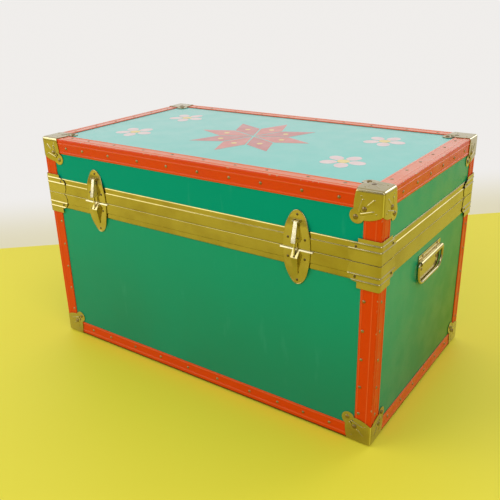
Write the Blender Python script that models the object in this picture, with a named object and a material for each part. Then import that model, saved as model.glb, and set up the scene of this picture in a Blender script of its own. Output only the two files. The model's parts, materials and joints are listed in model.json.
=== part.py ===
"""Travel trunk: a board case with a hinged lid, two front latches and a drop handle on each end.

Metres. The front looks along -Y, +X is to the viewer's right and +Z is up. The origin lies on the floor
under the middle of the case. A stand-off is a distance out from the board face that carries a piece, and a
rise is a distance up or down from the seam between chest and lid.
"""

import math

import bmesh
import bpy
from mathutils import Matrix, Vector

# Case, over the outer faces of the boards
CASE_LENGTH = 0.756
CASE_DEPTH = 0.435
CHEST_HEIGHT = 0.334
LID_HEIGHT = 0.1145
BOARD = 0.007

# Gaps: pieces that rest on each other, the shut seam, ends, turning parts, points that are one
SEAT = 0.0003
SEAM_GAP = 0.0006
END_GAP = 0.0005
RUNNING_GAP = 0.0003
MERGE_WITHIN = 0.000001

# Beaded edge angle
ANGLE_LEG = 0.0288
ANGLE_SHEET = 0.0010
ANGLE_ARRIS = 0.0020
BEAD_RISE = 0.0006
BEAD_WIDTH = 0.0030
BEAD_FROM_EDGE = 0.0032
BEAD_FROM_ARRIS = 0.0080
ARRIS_STEPS = 3

# Stamped corner: three plates round a case corner, each with a riveted ear on its diagonal
CAP_SHEET = 0.0012
CAP_ARRIS = 0.0050
CAP_COVER = 0.0078
CAP_WAVE = 0.0015
CAP_RINGS = (0.006, 0.015)
CAP_RIM = 0.0030
EAR_RADIUS = 0.0126
EAR_OFFSET = 0.0116
EAR_NECK = 0.0015
EAR_CLEAR = 0.0010
EAR_RAMP = 0.0030
PLATE_RAYS = (0.0, 0.16, 0.40, 0.72, 1.0)
EAR_RAYS = (0.1, 0.5, 1.0)

# Rim bands, one on the chest and one on the lid
BAND_WIDTH = 0.032
BAND_SHEET = 0.0017
BAND_FLANGE = 0.0012
RIDGE_RISE = 0.0006
RIDGE_WIDTH = 0.0030
RIDGE_FROM_SEAM = 0.0212
EDGE_LIP = 0.0015
TONGUE_RISE = 0.008
TONGUE_SHEET = 0.0012
TONGUE_GAP = 0.0006

# Corner sleeves over the bands
SLEEVE_SHEET = 0.0012
SLEEVE_RIDGE_RISE = 0.0009
SLEEVE_RIDGE_WIDTH = 0.0056
CHEST_SLEEVE_TAB = 0.0120
LID_SLEEVE_TAB = 0.0075
SLEEVE_TAB_LEG = 0.0355
SLEEVE_EAR_LEG = 0.052
TURN_STEPS = 3

# Latches: half-oval plates, a lever on the lid and a slotted catch on the chest
LATCH_INSET = 0.144
LATCH_LENGTH = 0.131
LATCH_WIDTH = 0.052
LATCH_SHEET = 0.0012
LATCH_FLAT_RISE = 0.0345
LATCH_SLOPE_RUN = 0.0190
LATCH_BODY_STEPS = 4
LATCH_SLOPE_STEPS = 3
LATCH_TIP_STEPS = 5
LEVER_END_RISE = 0.012
LEVER_FOOT = 0.0150
LEVER_FACE = 0.0082
LEVER_WALL = 0.0012
LEVER_REACH = 0.0155
PIVOT_RISE = 0.0465
PIVOT_LIFT = 0.0017
PIVOT_PIN = 0.0024
PIVOT_FOOT = 0.0078
PIVOT_FACE = 0.0064
PIVOT_HEEL = 0.0017
LUG_THICKNESS = 0.0014
LUG_RADIUS = 0.0026
BLADE_FRONT = 0.0117
BLADE_THICKNESS = 0.0020
BLADE_DEPTH = 0.0043
BLADE_TOP_RISE = 0.030
BLADE_DROP = 0.012
BLADE_NOSE = 0.0030
SLOT_CLEARANCE = 0.0006
SLOT_RUN_OUT = 0.0015
MOUTH_WIDTH = 0.0080
MOUTH_DROP = 0.0090
BOSS_MOUTH_DROP = 0.0030
BOSS_CREST_DROP = 0.0145
BOSS_TAIL_DROP = 0.046
BOSS_REACH = 0.0127
BOSS_MOUTH_LIFT = 0.0012
BOSS_TAIL_LIFT = 0.0008
BOSS_FOOT = 0.0164
BOSS_FACE = 0.0132
BOSS_TAIL_FOOT = 0.0060
BOSS_TAIL_FACE = 0.0036
WELD = 0.0006

# End handles
HANDLE_BELOW_SEAM = 0.058
HANDLE_WIDTH = 0.106
HANDLE_PLATE_TOP = 0.0140
HANDLE_PLATE_DROP = 0.042
HANDLE_PLATE_ROUND = 0.020
HANDLE_SHEET = 0.0015
BAIL_ROD = 0.0058
BAIL_DROP = 0.040
BAIL_STUB = 0.010
BAIL_SIDE_GAP = 0.0030
BAIL_BEND = 0.0050
BAIL_GRIP_BEND = 0.024
BARREL_WALL = 0.0015
BEND_STEPS = 4
ROD_SIDES = 12

# Hinges on the back
HINGE_INSET = 0.138
HINGE_WIDTH = 0.064
HINGE_LEAF = 0.029
HINGE_SHEET = 0.0015
HINGE_LEAF_ROUND = 0.006
KNUCKLE_RADIUS = 0.0063
KNUCKLE_MIDDLE = 0.031
HINGE_PIN = 0.0044
PIN_HEAD = 0.0062
PIN_HEAD_HEIGHT = 0.0012

# Folds shallower than these, in degrees, are shaded smooth
SMOOTH_FOLD = 35
SLEEVE_SMOOTH_FOLD = 20

# Levels and stand-offs that follow from the sizes above
ANGLE_FACE = SEAT + ANGLE_SHEET
ANGLE_BEAD_FACE = ANGLE_FACE + BEAD_RISE
CAP_OUTER = ANGLE_BEAD_FACE + SEAT + CAP_SHEET
EAR_OUTER = SEAT + CAP_SHEET
BAND_FACE = SEAT + BAND_SHEET
BAND_RIDGE_FACE = BAND_FACE + RIDGE_RISE
SLEEVE_FACE = max(BAND_FACE, ANGLE_BEAD_FACE) + SEAT + SLEEVE_SHEET
LATCH_FACE = BAND_RIDGE_FACE + SEAT + LATCH_SHEET
LATCH_LOW_FACE = SEAT + LATCH_SHEET
HALF_LENGTH = CASE_LENGTH / 2
HALF_DEPTH = CASE_DEPTH / 2
CASE_BOTTOM = CAP_OUTER
SEAM_Z = CASE_BOTTOM + CHEST_HEIGHT
CASE_TOP = SEAM_Z + LID_HEIGHT
RIM_RISE = SEAM_GAP / 2 + BAND_FLANGE
PIVOT_STAND = LATCH_FACE + PIVOT_LIFT
BARREL_BORE = BAIL_ROD / 2 + RUNNING_GAP
BARREL_RADIUS = BARREL_BORE + BARREL_WALL
BAIL_STAND = SEAT + BARREL_RADIUS
HANDLE_Z = SEAM_Z - HANDLE_BELOW_SEAM
HINGE_STAND = BAND_RIDGE_FACE + SEAT
HINGE_AXIS_Y = HALF_DEPTH + HINGE_STAND + KNUCKLE_RADIUS

SIDES = (("left", -1), ("right", 1))
CORNERS = (("front_left", -1, -1), ("front_right", 1, -1), ("back_left", -1, 1), ("back_right", 1, 1))


def clear_scene():
    for old in list(bpy.data.objects):
        bpy.data.objects.remove(old, do_unlink=True)


def make_finish(name, colour, metallic, roughness):
    """A Principled material in one plain colour."""
    material = bpy.data.materials.new(name)
    material.use_nodes = True
    shader = material.node_tree.nodes["Principled BSDF"]
    shader.inputs["Base Color"].default_value = (*colour, 1.0)
    shader.inputs["Metallic"].default_value = metallic
    shader.inputs["Roughness"].default_value = roughness
    return material


def add_pivot(name, place):
    """An empty that stands for a body, on its joint's axis where it turns."""
    pivot = bpy.data.objects.new(name, None)
    pivot.location = place
    bpy.context.scene.collection.objects.link(pivot)
    return pivot


def add_piece(name, shape, finish, pivot):
    """Turn a bmesh, modelled in place, into a named object carried by a pivot."""
    mesh = bpy.data.meshes.new(name)
    bmesh.ops.recalc_face_normals(shape, faces=shape.faces)
    shape.to_mesh(mesh)
    shape.free()
    return place_mesh(name, mesh, finish, pivot, Matrix.Identity(4))


def place_mesh(name, mesh, finish, pivot, place):
    """Put a mesh in the scene at a place given in the case's frame."""
    piece = bpy.data.objects.new(name, mesh)
    bpy.context.scene.collection.objects.link(piece)
    if finish:
        mesh.materials.clear()
        mesh.materials.append(finish)
    if pivot:
        piece.parent = pivot
        place = Matrix.Translation(-pivot.location) @ place
    piece.matrix_basis = place
    return piece


def apply_modifiers(piece):
    """Replace a piece's mesh by what its modifiers make of it."""
    bpy.context.view_layer.update()
    graph = bpy.context.evaluated_depsgraph_get()
    mesh = bpy.data.meshes.new_from_object(piece.evaluated_get(graph))
    piece.modifiers.clear()
    piece.data = mesh


def combine(piece, tool_shape, operation):
    """Join a helper solid to a piece, or cut it away, and drop the helper."""
    tool = add_piece("helper", tool_shape, None, None)
    modifier = piece.modifiers.new("Combine", "BOOLEAN")
    modifier.operation = operation
    modifier.object = tool
    apply_modifiers(piece)
    bpy.data.objects.remove(tool, do_unlink=True)


def give_thickness(piece, sheet):
    """Back an outer skin with sheet metal of one thickness."""
    modifier = piece.modifiers.new("Sheet", "SOLIDIFY")
    modifier.thickness = sheet
    modifier.offset = -1.0
    modifier.use_even_offset = True
    apply_modifiers(piece)


def shade(piece, smooth_fold=SMOOTH_FOLD):
    """Smooth shading that keeps folds crisp."""
    piece.data.shade_smooth()
    piece.data.set_sharp_from_angle(angle=math.radians(smooth_fold))


def block(low, high):
    """A rectangular solid between two opposite corners."""
    shape = bmesh.new()
    size = Vector(high) - Vector(low)
    middle = (Vector(high) + Vector(low)) / 2
    bmesh.ops.create_cube(shape, size=1.0, matrix=Matrix.Translation(middle) @ Matrix.Diagonal((*size, 1.0)))
    return shape


def prism(outline, run):
    """A flat outline extruded along a vector."""
    shape = bmesh.new()
    face = shape.faces.new([shape.verts.new(point) for point in outline])
    grown = bmesh.ops.extrude_face_region(shape, geom=[face])
    moved = [item for item in grown["geom"] if isinstance(item, bmesh.types.BMVert)]
    bmesh.ops.translate(shape, verts=moved, vec=run)
    return shape


def loft(sections):
    """A closed solid through outlines that have the same number of points."""
    shape = bmesh.new()
    loops = [[shape.verts.new(point) for point in section] for section in sections]
    join_loops(shape, loops, closed=True)
    shape.faces.new(loops[0])
    shape.faces.new(loops[-1])
    return shape


def join_loops(shape, loops, closed):
    """Quads between neighbouring loops of vertices."""
    for here, there in zip(loops, loops[1:]):
        last = len(here) if closed else len(here) - 1
        for index in range(last):
            after = (index + 1) % len(here)
            shape.faces.new((here[index], here[after], there[after], there[index]))


def circle(middle, radius, side, lift, sides=ROD_SIDES):
    """Points round a centre in the plane of two unit directions."""
    points = []
    for step in range(sides):
        turn = 2 * math.pi * step / sides
        points.append(middle + radius * (math.cos(turn) * side + math.sin(turn) * lift))
    return points


def bar_along_x(x_low, x_high, y, z, radius):
    """A round bar along X."""
    side = Vector((0, 1, 0))
    lift = Vector((0, 0, 1))
    return loft([circle(Vector((x, y, z)), radius, side, lift) for x in (x_low, x_high)])


def bar_along_y(x, y_low, y_high, z, radius):
    """A round bar along Y."""
    side = Vector((1, 0, 0))
    lift = Vector((0, 0, 1))
    return loft([circle(Vector((x, y, z)), radius, side, lift) for y in (y_low, y_high)])


def round_corner(before, corner, after, radius, steps=BEND_STEPS):
    """Points of the arc that rounds one corner of a path in a plane."""
    to_before = (before - corner).normalized()
    to_after = (after - corner).normalized()
    half_angle = to_before.angle(to_after) / 2
    middle = corner + (to_before + to_after).normalized() * radius / math.sin(half_angle)
    start = corner + to_before * radius / math.tan(half_angle) - middle
    end = corner + to_after * radius / math.tan(half_angle) - middle
    return [middle + radius * start.slerp(end, step / steps).normalized() for step in range(steps + 1)]


def octant(x_sign, y_sign, z_sign):
    """Turn a piece made for the (+, +, +) corner to another one; it is alike when X and Y change places."""
    flip = Matrix.Diagonal((x_sign, y_sign, z_sign, 1.0))
    swap = Matrix(((0, 1, 0, 0), (1, 0, 0, 0), (0, 0, 1, 0), (0, 0, 0, 1)))
    return flip if x_sign * y_sign * z_sign > 0 else flip @ swap


def make_boards(name, flat_z, up, rim_z, finish, pivot):
    """Four walls between the rim and the flat panel that closes the far side of the chest or the lid."""
    inner_depth = HALF_DEPTH - BOARD - SEAT
    panel_low, panel_high = sorted((flat_z, flat_z + up * BOARD))
    low_z, high_z = sorted((flat_z + up * (BOARD + SEAT), rim_z - up * (RIM_RISE + SEAT)))
    for end, y_sign in (("front", -1), ("back", 1)):
        wall_y = sorted((y_sign * HALF_DEPTH, y_sign * (HALF_DEPTH - BOARD)))
        wall = block((-HALF_LENGTH, wall_y[0], low_z), (HALF_LENGTH, wall_y[1], high_z))
        add_piece(f"{name}_{end}", wall, finish, pivot)
    for end, x_sign in SIDES:
        wall_x = sorted((x_sign * HALF_LENGTH, x_sign * (HALF_LENGTH - BOARD)))
        wall = block((wall_x[0], -inner_depth, low_z), (wall_x[1], inner_depth, high_z))
        add_piece(f"{name}_{end}_end", wall, finish, pivot)
    flat = "bottom" if name == "chest" else "top"
    panel = block((-HALF_LENGTH, -HALF_DEPTH, panel_low), (HALF_LENGTH, HALF_DEPTH, panel_high))
    add_piece(f"{name}_{flat}", panel, finish, pivot)


def angle_profile():
    """Cross-section of the beaded angle as (out of face 1, out of face 2), about the case edge."""
    leg = [(ANGLE_LEG, SEAT), (ANGLE_LEG, ANGLE_FACE)]
    for middle in (ANGLE_LEG - BEAD_FROM_EDGE, BEAD_FROM_ARRIS):
        leg.append((middle + BEAD_WIDTH / 2, ANGLE_FACE))
        leg.append((middle + BEAD_WIDTH / 4, ANGLE_BEAD_FACE))
        leg.append((middle - BEAD_WIDTH / 4, ANGLE_BEAD_FACE))
        leg.append((middle - BEAD_WIDTH / 2, ANGLE_FACE))
    centre = ANGLE_FACE - ANGLE_ARRIS
    arris = []
    for step in range(ARRIS_STEPS + 1):
        turn = math.pi / 2 * step / ARRIS_STEPS
        arris.append((centre + ANGLE_ARRIS * math.cos(turn), centre + ANGLE_ARRIS * math.sin(turn)))
    first = [(out, -along) for along, out in leg]
    second = [(-along, out) for along, out in reversed(leg)]
    return first + arris + second + [(SEAT, SEAT)]


def make_angle(name, start, end, out_1, out_2, finish, pivot):
    """A length of beaded angle along a case edge, between the two faces that look along out_1 and out_2."""
    start = Vector(start)
    outline = [start + Vector(out_1) * first + Vector(out_2) * second for first, second in angle_profile()]
    piece = add_piece(name, prism(outline, Vector(end) - start), finish, pivot)
    shade(piece)


def make_angles(name, flat_z, up, rim_z, finish, pivot):
    """Angles along the four edges of the flat panel and up the four corners of the chest or the lid."""
    level = "bottom" if name == "chest" else "top"
    out_flat = (0, 0, -up)
    long = HALF_LENGTH - CAP_ARRIS
    short = HALF_DEPTH - ANGLE_LEG - END_GAP
    for end, y_sign in (("front", -1), ("back", 1)):
        edge_y = y_sign * HALF_DEPTH
        make_angle(f"{name}_angle_{level}_{end}", (-long, edge_y, flat_z), (long, edge_y, flat_z),
                   (0, y_sign, 0), out_flat, finish, pivot)
    for end, x_sign in SIDES:
        edge_x = x_sign * HALF_LENGTH
        make_angle(f"{name}_angle_{level}_{end}", (edge_x, -short, flat_z), (edge_x, short, flat_z),
                   (x_sign, 0, 0), out_flat, finish, pivot)
    foot_z = flat_z + up * (ANGLE_LEG + END_GAP)
    head_z = rim_z - up * (BAND_WIDTH + END_GAP)
    for corner, x_sign, y_sign in CORNERS:
        edge = (x_sign * HALF_LENGTH, y_sign * HALF_DEPTH)
        make_angle(f"{name}_angle_{corner}", (*edge, foot_z), (*edge, head_z),
                   (x_sign, 0, 0), (0, y_sign, 0), finish, pivot)


def cap_rays():
    """The corner plate as rays from the case corner, each an angle and its distances; half, then mirrored."""
    ear_distance = math.sqrt(2) * (CAP_OUTER + ANGLE_LEG + EAR_OFFSET)
    ear_half_angle = math.asin(EAR_RADIUS / ear_distance)
    neck_angle = math.pi / 4 - ear_half_angle
    neck_reach = math.sqrt(ear_distance ** 2 - EAR_RADIUS ** 2) - EAR_NECK
    edge_reach = CAP_OUTER + ANGLE_LEG + CAP_COVER
    step_in = CAP_OUTER + ANGLE_LEG + EAR_CLEAR
    rays = []
    for part in PLATE_RAYS:
        reach = edge_reach + (neck_reach - edge_reach) * part + CAP_WAVE * math.sin(2 * math.pi * part)
        rays.append((neck_angle * part, (*CAP_RINGS, reach - 2 * CAP_RIM, reach - CAP_RIM, reach)))
    for part in EAR_RAYS:
        swing = ear_half_angle * (1 - part)
        angle = math.pi / 4 - swing
        chord = math.sqrt(EAR_RADIUS ** 2 - (ear_distance * math.sin(swing)) ** 2)
        reach = ear_distance * math.cos(swing) + chord
        ramp_head = min(step_in / math.sin(angle), reach - CAP_RIM)
        ramp_foot = min((step_in + EAR_RAMP) / math.sin(angle), reach - EAR_CLEAR / 4)
        rays.append((angle, (*CAP_RINGS, ramp_head, ramp_foot, reach)))
    mirrored = [(math.pi / 2 - angle, distances) for angle, distances in reversed(rays[:-1])]
    return rays + mirrored


def cap_point(axis, angle, distance, depth):
    """A point of the corner on the plate that looks along one axis, at a depth below its outer skin."""
    across = distance * math.sin(angle)
    along = distance * math.cos(angle)
    point = Vector((CAP_OUTER, CAP_OUTER, CAP_OUTER))
    point[(axis + 1) % 3] -= across
    point[(axis + 2) % 3] -= along
    core = Vector([min(value, CAP_OUTER - CAP_ARRIS) for value in point])
    point = core + (point - core).normalized() * (CAP_ARRIS - depth)
    step_in = CAP_OUTER + ANGLE_LEG + EAR_CLEAR
    sunk = min(max((min(across, along) - step_in) / EAR_RAMP, 0.0), 1.0)
    point[axis] -= sunk * (CAP_OUTER - EAR_OUTER)
    return point


def corner_skin(shape, depth):
    """One skin of the stamped corner; gives the vertices along the free edge of its three plates."""
    rim = []
    for axis in range(3):
        tip = shape.verts.new(cap_point(axis, math.pi / 4, 0.0, depth))
        rays = []
        for angle, distances in cap_rays():
            rays.append([shape.verts.new(cap_point(axis, angle, distance, depth)) for distance in distances])
        for here, there in zip(rays, rays[1:]):
            shape.faces.new((tip, there[0], here[0]))
        join_loops(shape, rays, closed=False)
        rim.append([ray[-1] for ray in rays])
    return rim


def corner_mesh(finish):
    """Stamped corner for the case corner at the origin, with its plates looking along +X, +Y and +Z."""
    shape = bmesh.new()
    outer_rim = corner_skin(shape, 0.0)
    inner_rim = corner_skin(shape, CAP_SHEET)
    for outer, inner in zip(outer_rim, inner_rim):
        join_loops(shape, [outer, inner], closed=False)
    bmesh.ops.remove_doubles(shape, verts=shape.verts, dist=MERGE_WITHIN)
    piece = add_piece("corner_pattern", shape, finish, None)
    shade(piece)
    mesh = piece.data
    bpy.data.objects.remove(piece, do_unlink=True)
    return mesh


def sleeve_rows(tab):
    """Rises of the sleeve's rows with how far each stands out, from the seam to the end of the tab."""
    half = SLEEVE_RIDGE_WIDTH / 2
    rows = [(SEAM_GAP, 0.0)]
    for middle in (RIDGE_FROM_SEAM, BAND_WIDTH - EDGE_LIP / 2):
        rows.append((middle - half, 0.0))
        rows.append((middle - half / 2, SLEEVE_RIDGE_RISE))
        rows.append((middle + half / 2, SLEEVE_RIDGE_RISE))
        rows.append((middle + half, 0.0))
    rows.insert(1, ((rows[0][0] + rows[1][0]) / 2, 0.0))
    rows.append((BAND_WIDTH + tab, 0.0))
    return rows


def edge_turn(stand):
    """Sheet bent round an upright case edge, as points about that edge; inside the case the bend is tight."""
    radius = max(stand, SEAT)
    centre = stand - radius
    points = []
    for step in range(TURN_STEPS + 1):
        turn = math.pi / 2 * step / TURN_STEPS
        points.append((centre + radius * math.cos(turn), centre + radius * math.sin(turn)))
    return points


def sleeve_leg(rise):
    """Length of a sleeve's leg: a round ear over the band, then the straight tab."""
    ear_half = (BAND_WIDTH + EDGE_LIP) / 2
    from_middle = (rise - ear_half) / ear_half
    bulge = math.sqrt(max(0.0, 1.0 - from_middle ** 2))
    foot = 1.0 if rise > ear_half else 0.5
    return SLEEVE_TAB_LEG + (SLEEVE_EAR_LEG - SLEEVE_TAB_LEG) * bulge ** foot


def sleeve_mesh(tab, finish):
    """Corner sleeve above the seam, for the case edge at the origin, with its legs on the +X and +Y faces."""
    shape = bmesh.new()
    rows = []
    for rise, stand in sleeve_rows(tab):
        face = SLEEVE_FACE + stand
        leg = sleeve_leg(rise)
        row = [shape.verts.new((face, -leg, rise))]
        for out_x, out_y in edge_turn(face):
            row.append(shape.verts.new((out_x, out_y, rise)))
        row.append(shape.verts.new((-leg, face, rise)))
        rows.append(row)
    join_loops(shape, rows, closed=False)
    piece = add_piece("sleeve_pattern", shape, finish, None)
    give_thickness(piece, SLEEVE_SHEET)
    shade(piece, SLEEVE_SMOOTH_FOLD)
    mesh = piece.data
    bpy.data.objects.remove(piece, do_unlink=True)
    return mesh


def make_corner_fittings(finish, chest, lid):
    """Stamped corners at the eight case corners, and the sleeves beside the seam."""
    corner = corner_mesh(finish)
    halves = (("chest", -1, CASE_BOTTOM, CHEST_SLEEVE_TAB, chest), ("lid", 1, CASE_TOP, LID_SLEEVE_TAB, lid))
    for name, up, level, tab, pivot in halves:
        sleeve = sleeve_mesh(tab, finish)
        for place, x_sign, y_sign in CORNERS:
            turn = octant(x_sign, y_sign, up)
            edge = Vector((x_sign * HALF_LENGTH, y_sign * HALF_DEPTH, 0))
            at_corner = Matrix.Translation(edge + Vector((0, 0, level)))
            at_seam = Matrix.Translation(edge + Vector((0, 0, SEAM_Z)))
            place_mesh(f"{name}_corner_{place}", corner, finish, pivot, at_corner @ turn)
            place_mesh(f"{name}_sleeve_{place}", sleeve, finish, pivot, at_seam @ turn)


def band_profile():
    """Outer leg of a rim band as (stand-off, rise), from its far edge to the seam."""
    lip = BAND_WIDTH - EDGE_LIP
    return [
        (SEAT, BAND_WIDTH),
        (BAND_RIDGE_FACE, BAND_WIDTH),
        (BAND_RIDGE_FACE, lip),
        (BAND_FACE, lip - RIDGE_RISE),
        (BAND_FACE, RIDGE_FROM_SEAM + RIDGE_WIDTH / 2),
        (BAND_RIDGE_FACE, RIDGE_FROM_SEAM + RIDGE_WIDTH / 4),
        (BAND_RIDGE_FACE, RIDGE_FROM_SEAM - RIDGE_WIDTH / 4),
        (BAND_FACE, RIDGE_FROM_SEAM - RIDGE_WIDTH / 2),
        (BAND_FACE, SEAM_GAP / 2),
    ]


def make_band(name, profile, finish, pivot):
    """A profile carried round the case and bent at its upright edges."""
    shape = bmesh.new()
    loops = []
    for x_sign, y_sign in ((1, 1), (-1, 1), (-1, -1), (1, -1)):
        corner = [[] for _ in range(TURN_STEPS + 1)]
        for out, rise in profile:
            for loop, (out_x, out_y) in zip(corner, edge_turn(out)):
                place = (x_sign * (HALF_LENGTH + out_x), y_sign * (HALF_DEPTH + out_y), SEAM_Z + rise)
                loop.append(shape.verts.new(place))
        loops += corner if x_sign * y_sign > 0 else reversed(corner)
    join_loops(shape, loops + loops[:1], closed=True)
    return add_piece(name, shape, finish, pivot)


def make_bands(finish, chest, lid):
    """The lid's band with its flange under the walls, and the chest's with the tongue inside the shut lid."""
    outer = band_profile()
    flange = [(-BOARD, SEAM_GAP / 2), (-BOARD, RIM_RISE), (SEAT, RIM_RISE)]
    make_band("lid_rim_band", outer + flange, finish, lid)
    tongue_out = -BOARD - TONGUE_GAP
    tongue_in = tongue_out - TONGUE_SHEET
    tongue = [
        (tongue_out, -SEAM_GAP / 2),
        (tongue_out, TONGUE_RISE),
        (tongue_in, TONGUE_RISE),
        (tongue_in, -RIM_RISE),
        (SEAT, -RIM_RISE),
    ]
    make_band("chest_rim_band", [(out, -rise) for out, rise in outer] + tongue, finish, chest)


def on_front(x, stand, rise):
    """A point in front of the seam, given by its stand-off and its rise."""
    return Vector((x, -HALF_DEPTH - stand, SEAM_Z + rise))


def latch_stand(rise):
    """Stand-off of a latch plate's face: flat over the band, then sloping down to the board."""
    part = min(max((rise - LATCH_FLAT_RISE) / LATCH_SLOPE_RUN, 0.0), 1.0)
    return LATCH_FACE + (LATCH_LOW_FACE - LATCH_FACE) * part


def latch_plate(name, x, up, finish, pivot):
    """Half of an oval plate, flat over the band and sloping down to the board at its riveted tip."""
    half_length = LATCH_LENGTH / 2
    tip_start = math.asin((LATCH_FLAT_RISE + LATCH_SLOPE_RUN) / half_length)
    rises = [SEAM_GAP]
    rises += [LATCH_FLAT_RISE * step / LATCH_BODY_STEPS for step in range(1, LATCH_BODY_STEPS + 1)]
    for step in range(1, LATCH_SLOPE_STEPS):
        rises.append(LATCH_FLAT_RISE + LATCH_SLOPE_RUN * step / LATCH_SLOPE_STEPS)
    for step in range(LATCH_TIP_STEPS):
        turn = tip_start + (math.pi / 2 - tip_start) * step / LATCH_TIP_STEPS
        rises.append(half_length * math.sin(turn))
    shape = bmesh.new()
    rows = []
    for rise in rises:
        half = LATCH_WIDTH / 2 * math.sqrt(1 - (rise / half_length) ** 2)
        ends = (x - half, x + half) if up > 0 else (x + half, x - half)
        rows.append([shape.verts.new(on_front(end, latch_stand(rise), up * rise)) for end in ends])
    join_loops(shape, rows, closed=False)
    piece = add_piece(name, shape, finish, pivot)
    give_thickness(piece, LATCH_SHEET)
    return piece


def trapezoid(x, rise, foot, face, foot_stand, face_stand):
    """Cross-section of a pressed ridge: wide at its foot, narrower at its face."""
    return [
        on_front(x - foot / 2, foot_stand, rise),
        on_front(x + foot / 2, foot_stand, rise),
        on_front(x + face / 2, face_stand, rise),
        on_front(x - face / 2, face_stand, rise),
    ]


def lever_at(rise):
    """Foot width, face width and face stand-off of the lever at a rise between free end and pivot."""
    part = (rise - LEVER_END_RISE) / (PIVOT_RISE - LEVER_END_RISE)
    foot = LEVER_FOOT + (PIVOT_FOOT - LEVER_FOOT) * part
    face = LEVER_FACE + (PIVOT_FACE - LEVER_FACE) * part
    stand = LEVER_REACH + (PIVOT_STAND + PIVOT_LIFT - SEAT - LEVER_REACH) * part
    return foot, face, stand


def lug_inner():
    """Half of the space between the two lugs, clear of the lever's widest part between them."""
    return lever_at(PIVOT_RISE - LUG_RADIUS)[0] / 2 + RUNNING_GAP


def make_lid_latch(side, x, finish, lid):
    """Upper half plate with the two lugs that carry the lever's trunnions."""
    plate = latch_plate(f"latch_plate_{side}", x, 1, finish, lid)
    foot = [(latch_stand(rise) - WELD, rise) for rise in (PIVOT_RISE - LUG_RADIUS, PIVOT_RISE + LUG_RADIUS)]
    for sign in (-1, 1):
        inner = x + sign * lug_inner()
        arc = []
        for step in range(ROD_SIDES // 2 + 1):
            turn = math.pi * step / (ROD_SIDES // 2)
            arc.append((PIVOT_STAND + LUG_RADIUS * math.sin(turn), PIVOT_RISE + LUG_RADIUS * math.cos(turn)))
        outline = [on_front(inner, stand, rise) for stand, rise in foot + arc]
        combine(plate, prism(outline, Vector((sign * LUG_THICKNESS, 0, 0))), "UNION")
    reach = lug_inner() + 2 * LUG_THICKNESS
    hole = on_front(x, PIVOT_STAND, PIVOT_RISE)
    bore = bar_along_x(x - reach, x + reach, hole.y, hole.z, PIVOT_PIN / 2 + RUNNING_GAP)
    combine(plate, bore, "DIFFERENCE")


def make_lever(side, x, finish, pivot):
    """Tapering hollow lever with its trunnions, and the blade that reaches down into the catch."""
    foot, face, stand = lever_at(PIVOT_RISE)
    foot_stand = LATCH_FACE + SEAT
    heel_rise = PIVOT_RISE + PIVOT_HEEL
    heel_half = PIVOT_HEEL / 3
    outer = [
        trapezoid(x, LEVER_END_RISE, LEVER_FOOT, LEVER_FACE, foot_stand, LEVER_REACH),
        trapezoid(x, PIVOT_RISE, foot, face, foot_stand, stand),
        trapezoid(x, heel_rise, foot, face, PIVOT_STAND - heel_half, PIVOT_STAND + 2 * heel_half),
    ]
    lever = add_piece(f"latch_lever_{side}", loft(outer), finish, pivot)
    hollow = []
    for rise in (LEVER_END_RISE - LEVER_WALL, PIVOT_RISE - LUG_RADIUS - LEVER_WALL):
        foot, face, stand = lever_at(rise)
        hollow.append(trapezoid(x, rise, foot - 2 * LEVER_WALL, face - 2 * LEVER_WALL,
                                foot_stand - LEVER_WALL, stand - LEVER_WALL))
    combine(lever, loft(hollow), "DIFFERENCE")
    axle = on_front(x, PIVOT_STAND, PIVOT_RISE)
    reach = lug_inner() + LUG_THICKNESS
    combine(lever, bar_along_x(x - reach, x + reach, axle.y, axle.z, PIVOT_PIN / 2), "UNION")
    combine(lever, prism(blade_outline(x - BLADE_THICKNESS / 2), Vector((BLADE_THICKNESS, 0, 0))), "UNION")


def blade_outline(x):
    """Side view of the blade, from the wall of the lever's face down to its nose in the catch."""
    back = BLADE_FRONT - BLADE_DEPTH
    top_front = lever_at(BLADE_TOP_RISE)[2] - LEVER_WALL / 2
    points = [
        (top_front - BLADE_DEPTH / 2, BLADE_TOP_RISE),
        (top_front, BLADE_TOP_RISE),
        (BLADE_FRONT, LEVER_END_RISE + LEVER_WALL),
        (BLADE_FRONT, BLADE_NOSE - BLADE_DROP),
        (BLADE_FRONT - BLADE_DEPTH / 3, -BLADE_DROP),
        (back + BLADE_DEPTH / 3, -BLADE_DROP),
        (back, BLADE_NOSE - BLADE_DROP),
        (back, LEVER_END_RISE),
    ]
    return [on_front(x, stand, rise) for stand, rise in points]


def make_catch(side, x, finish, chest):
    """Lower half plate with a tapering boss, slotted from its mouth for the lever's blade."""
    catch = latch_plate(f"latch_catch_{side}", x, -1, finish, chest)
    root = LATCH_FACE - WELD
    boss = [
        trapezoid(x, -BOSS_MOUTH_DROP, BOSS_FOOT, BOSS_FACE, root, LATCH_FACE + BOSS_MOUTH_LIFT),
        trapezoid(x, -BOSS_CREST_DROP, BOSS_FOOT, BOSS_FACE, root, BOSS_REACH),
        trapezoid(x, -BOSS_TAIL_DROP, BOSS_TAIL_FOOT, BOSS_TAIL_FACE, root, LATCH_FACE + BOSS_TAIL_LIFT),
    ]
    combine(catch, loft(boss), "UNION")
    slot_half = BLADE_THICKNESS / 2 + SLOT_CLEARANCE
    slot_end = -BLADE_DROP - SLOT_RUN_OUT
    right = [(MOUTH_WIDTH / 2, 0.0), (slot_half, -MOUTH_DROP), (slot_half, slot_end)]
    mouth = right + [(-across, rise) for across, rise in reversed(right)]
    floor = BLADE_FRONT - BLADE_DEPTH - SLOT_CLEARANCE
    outline = [on_front(x + across, floor, rise) for across, rise in mouth]
    combine(catch, prism(outline, Vector((0, -BOSS_REACH, 0))), "DIFFERENCE")


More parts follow.
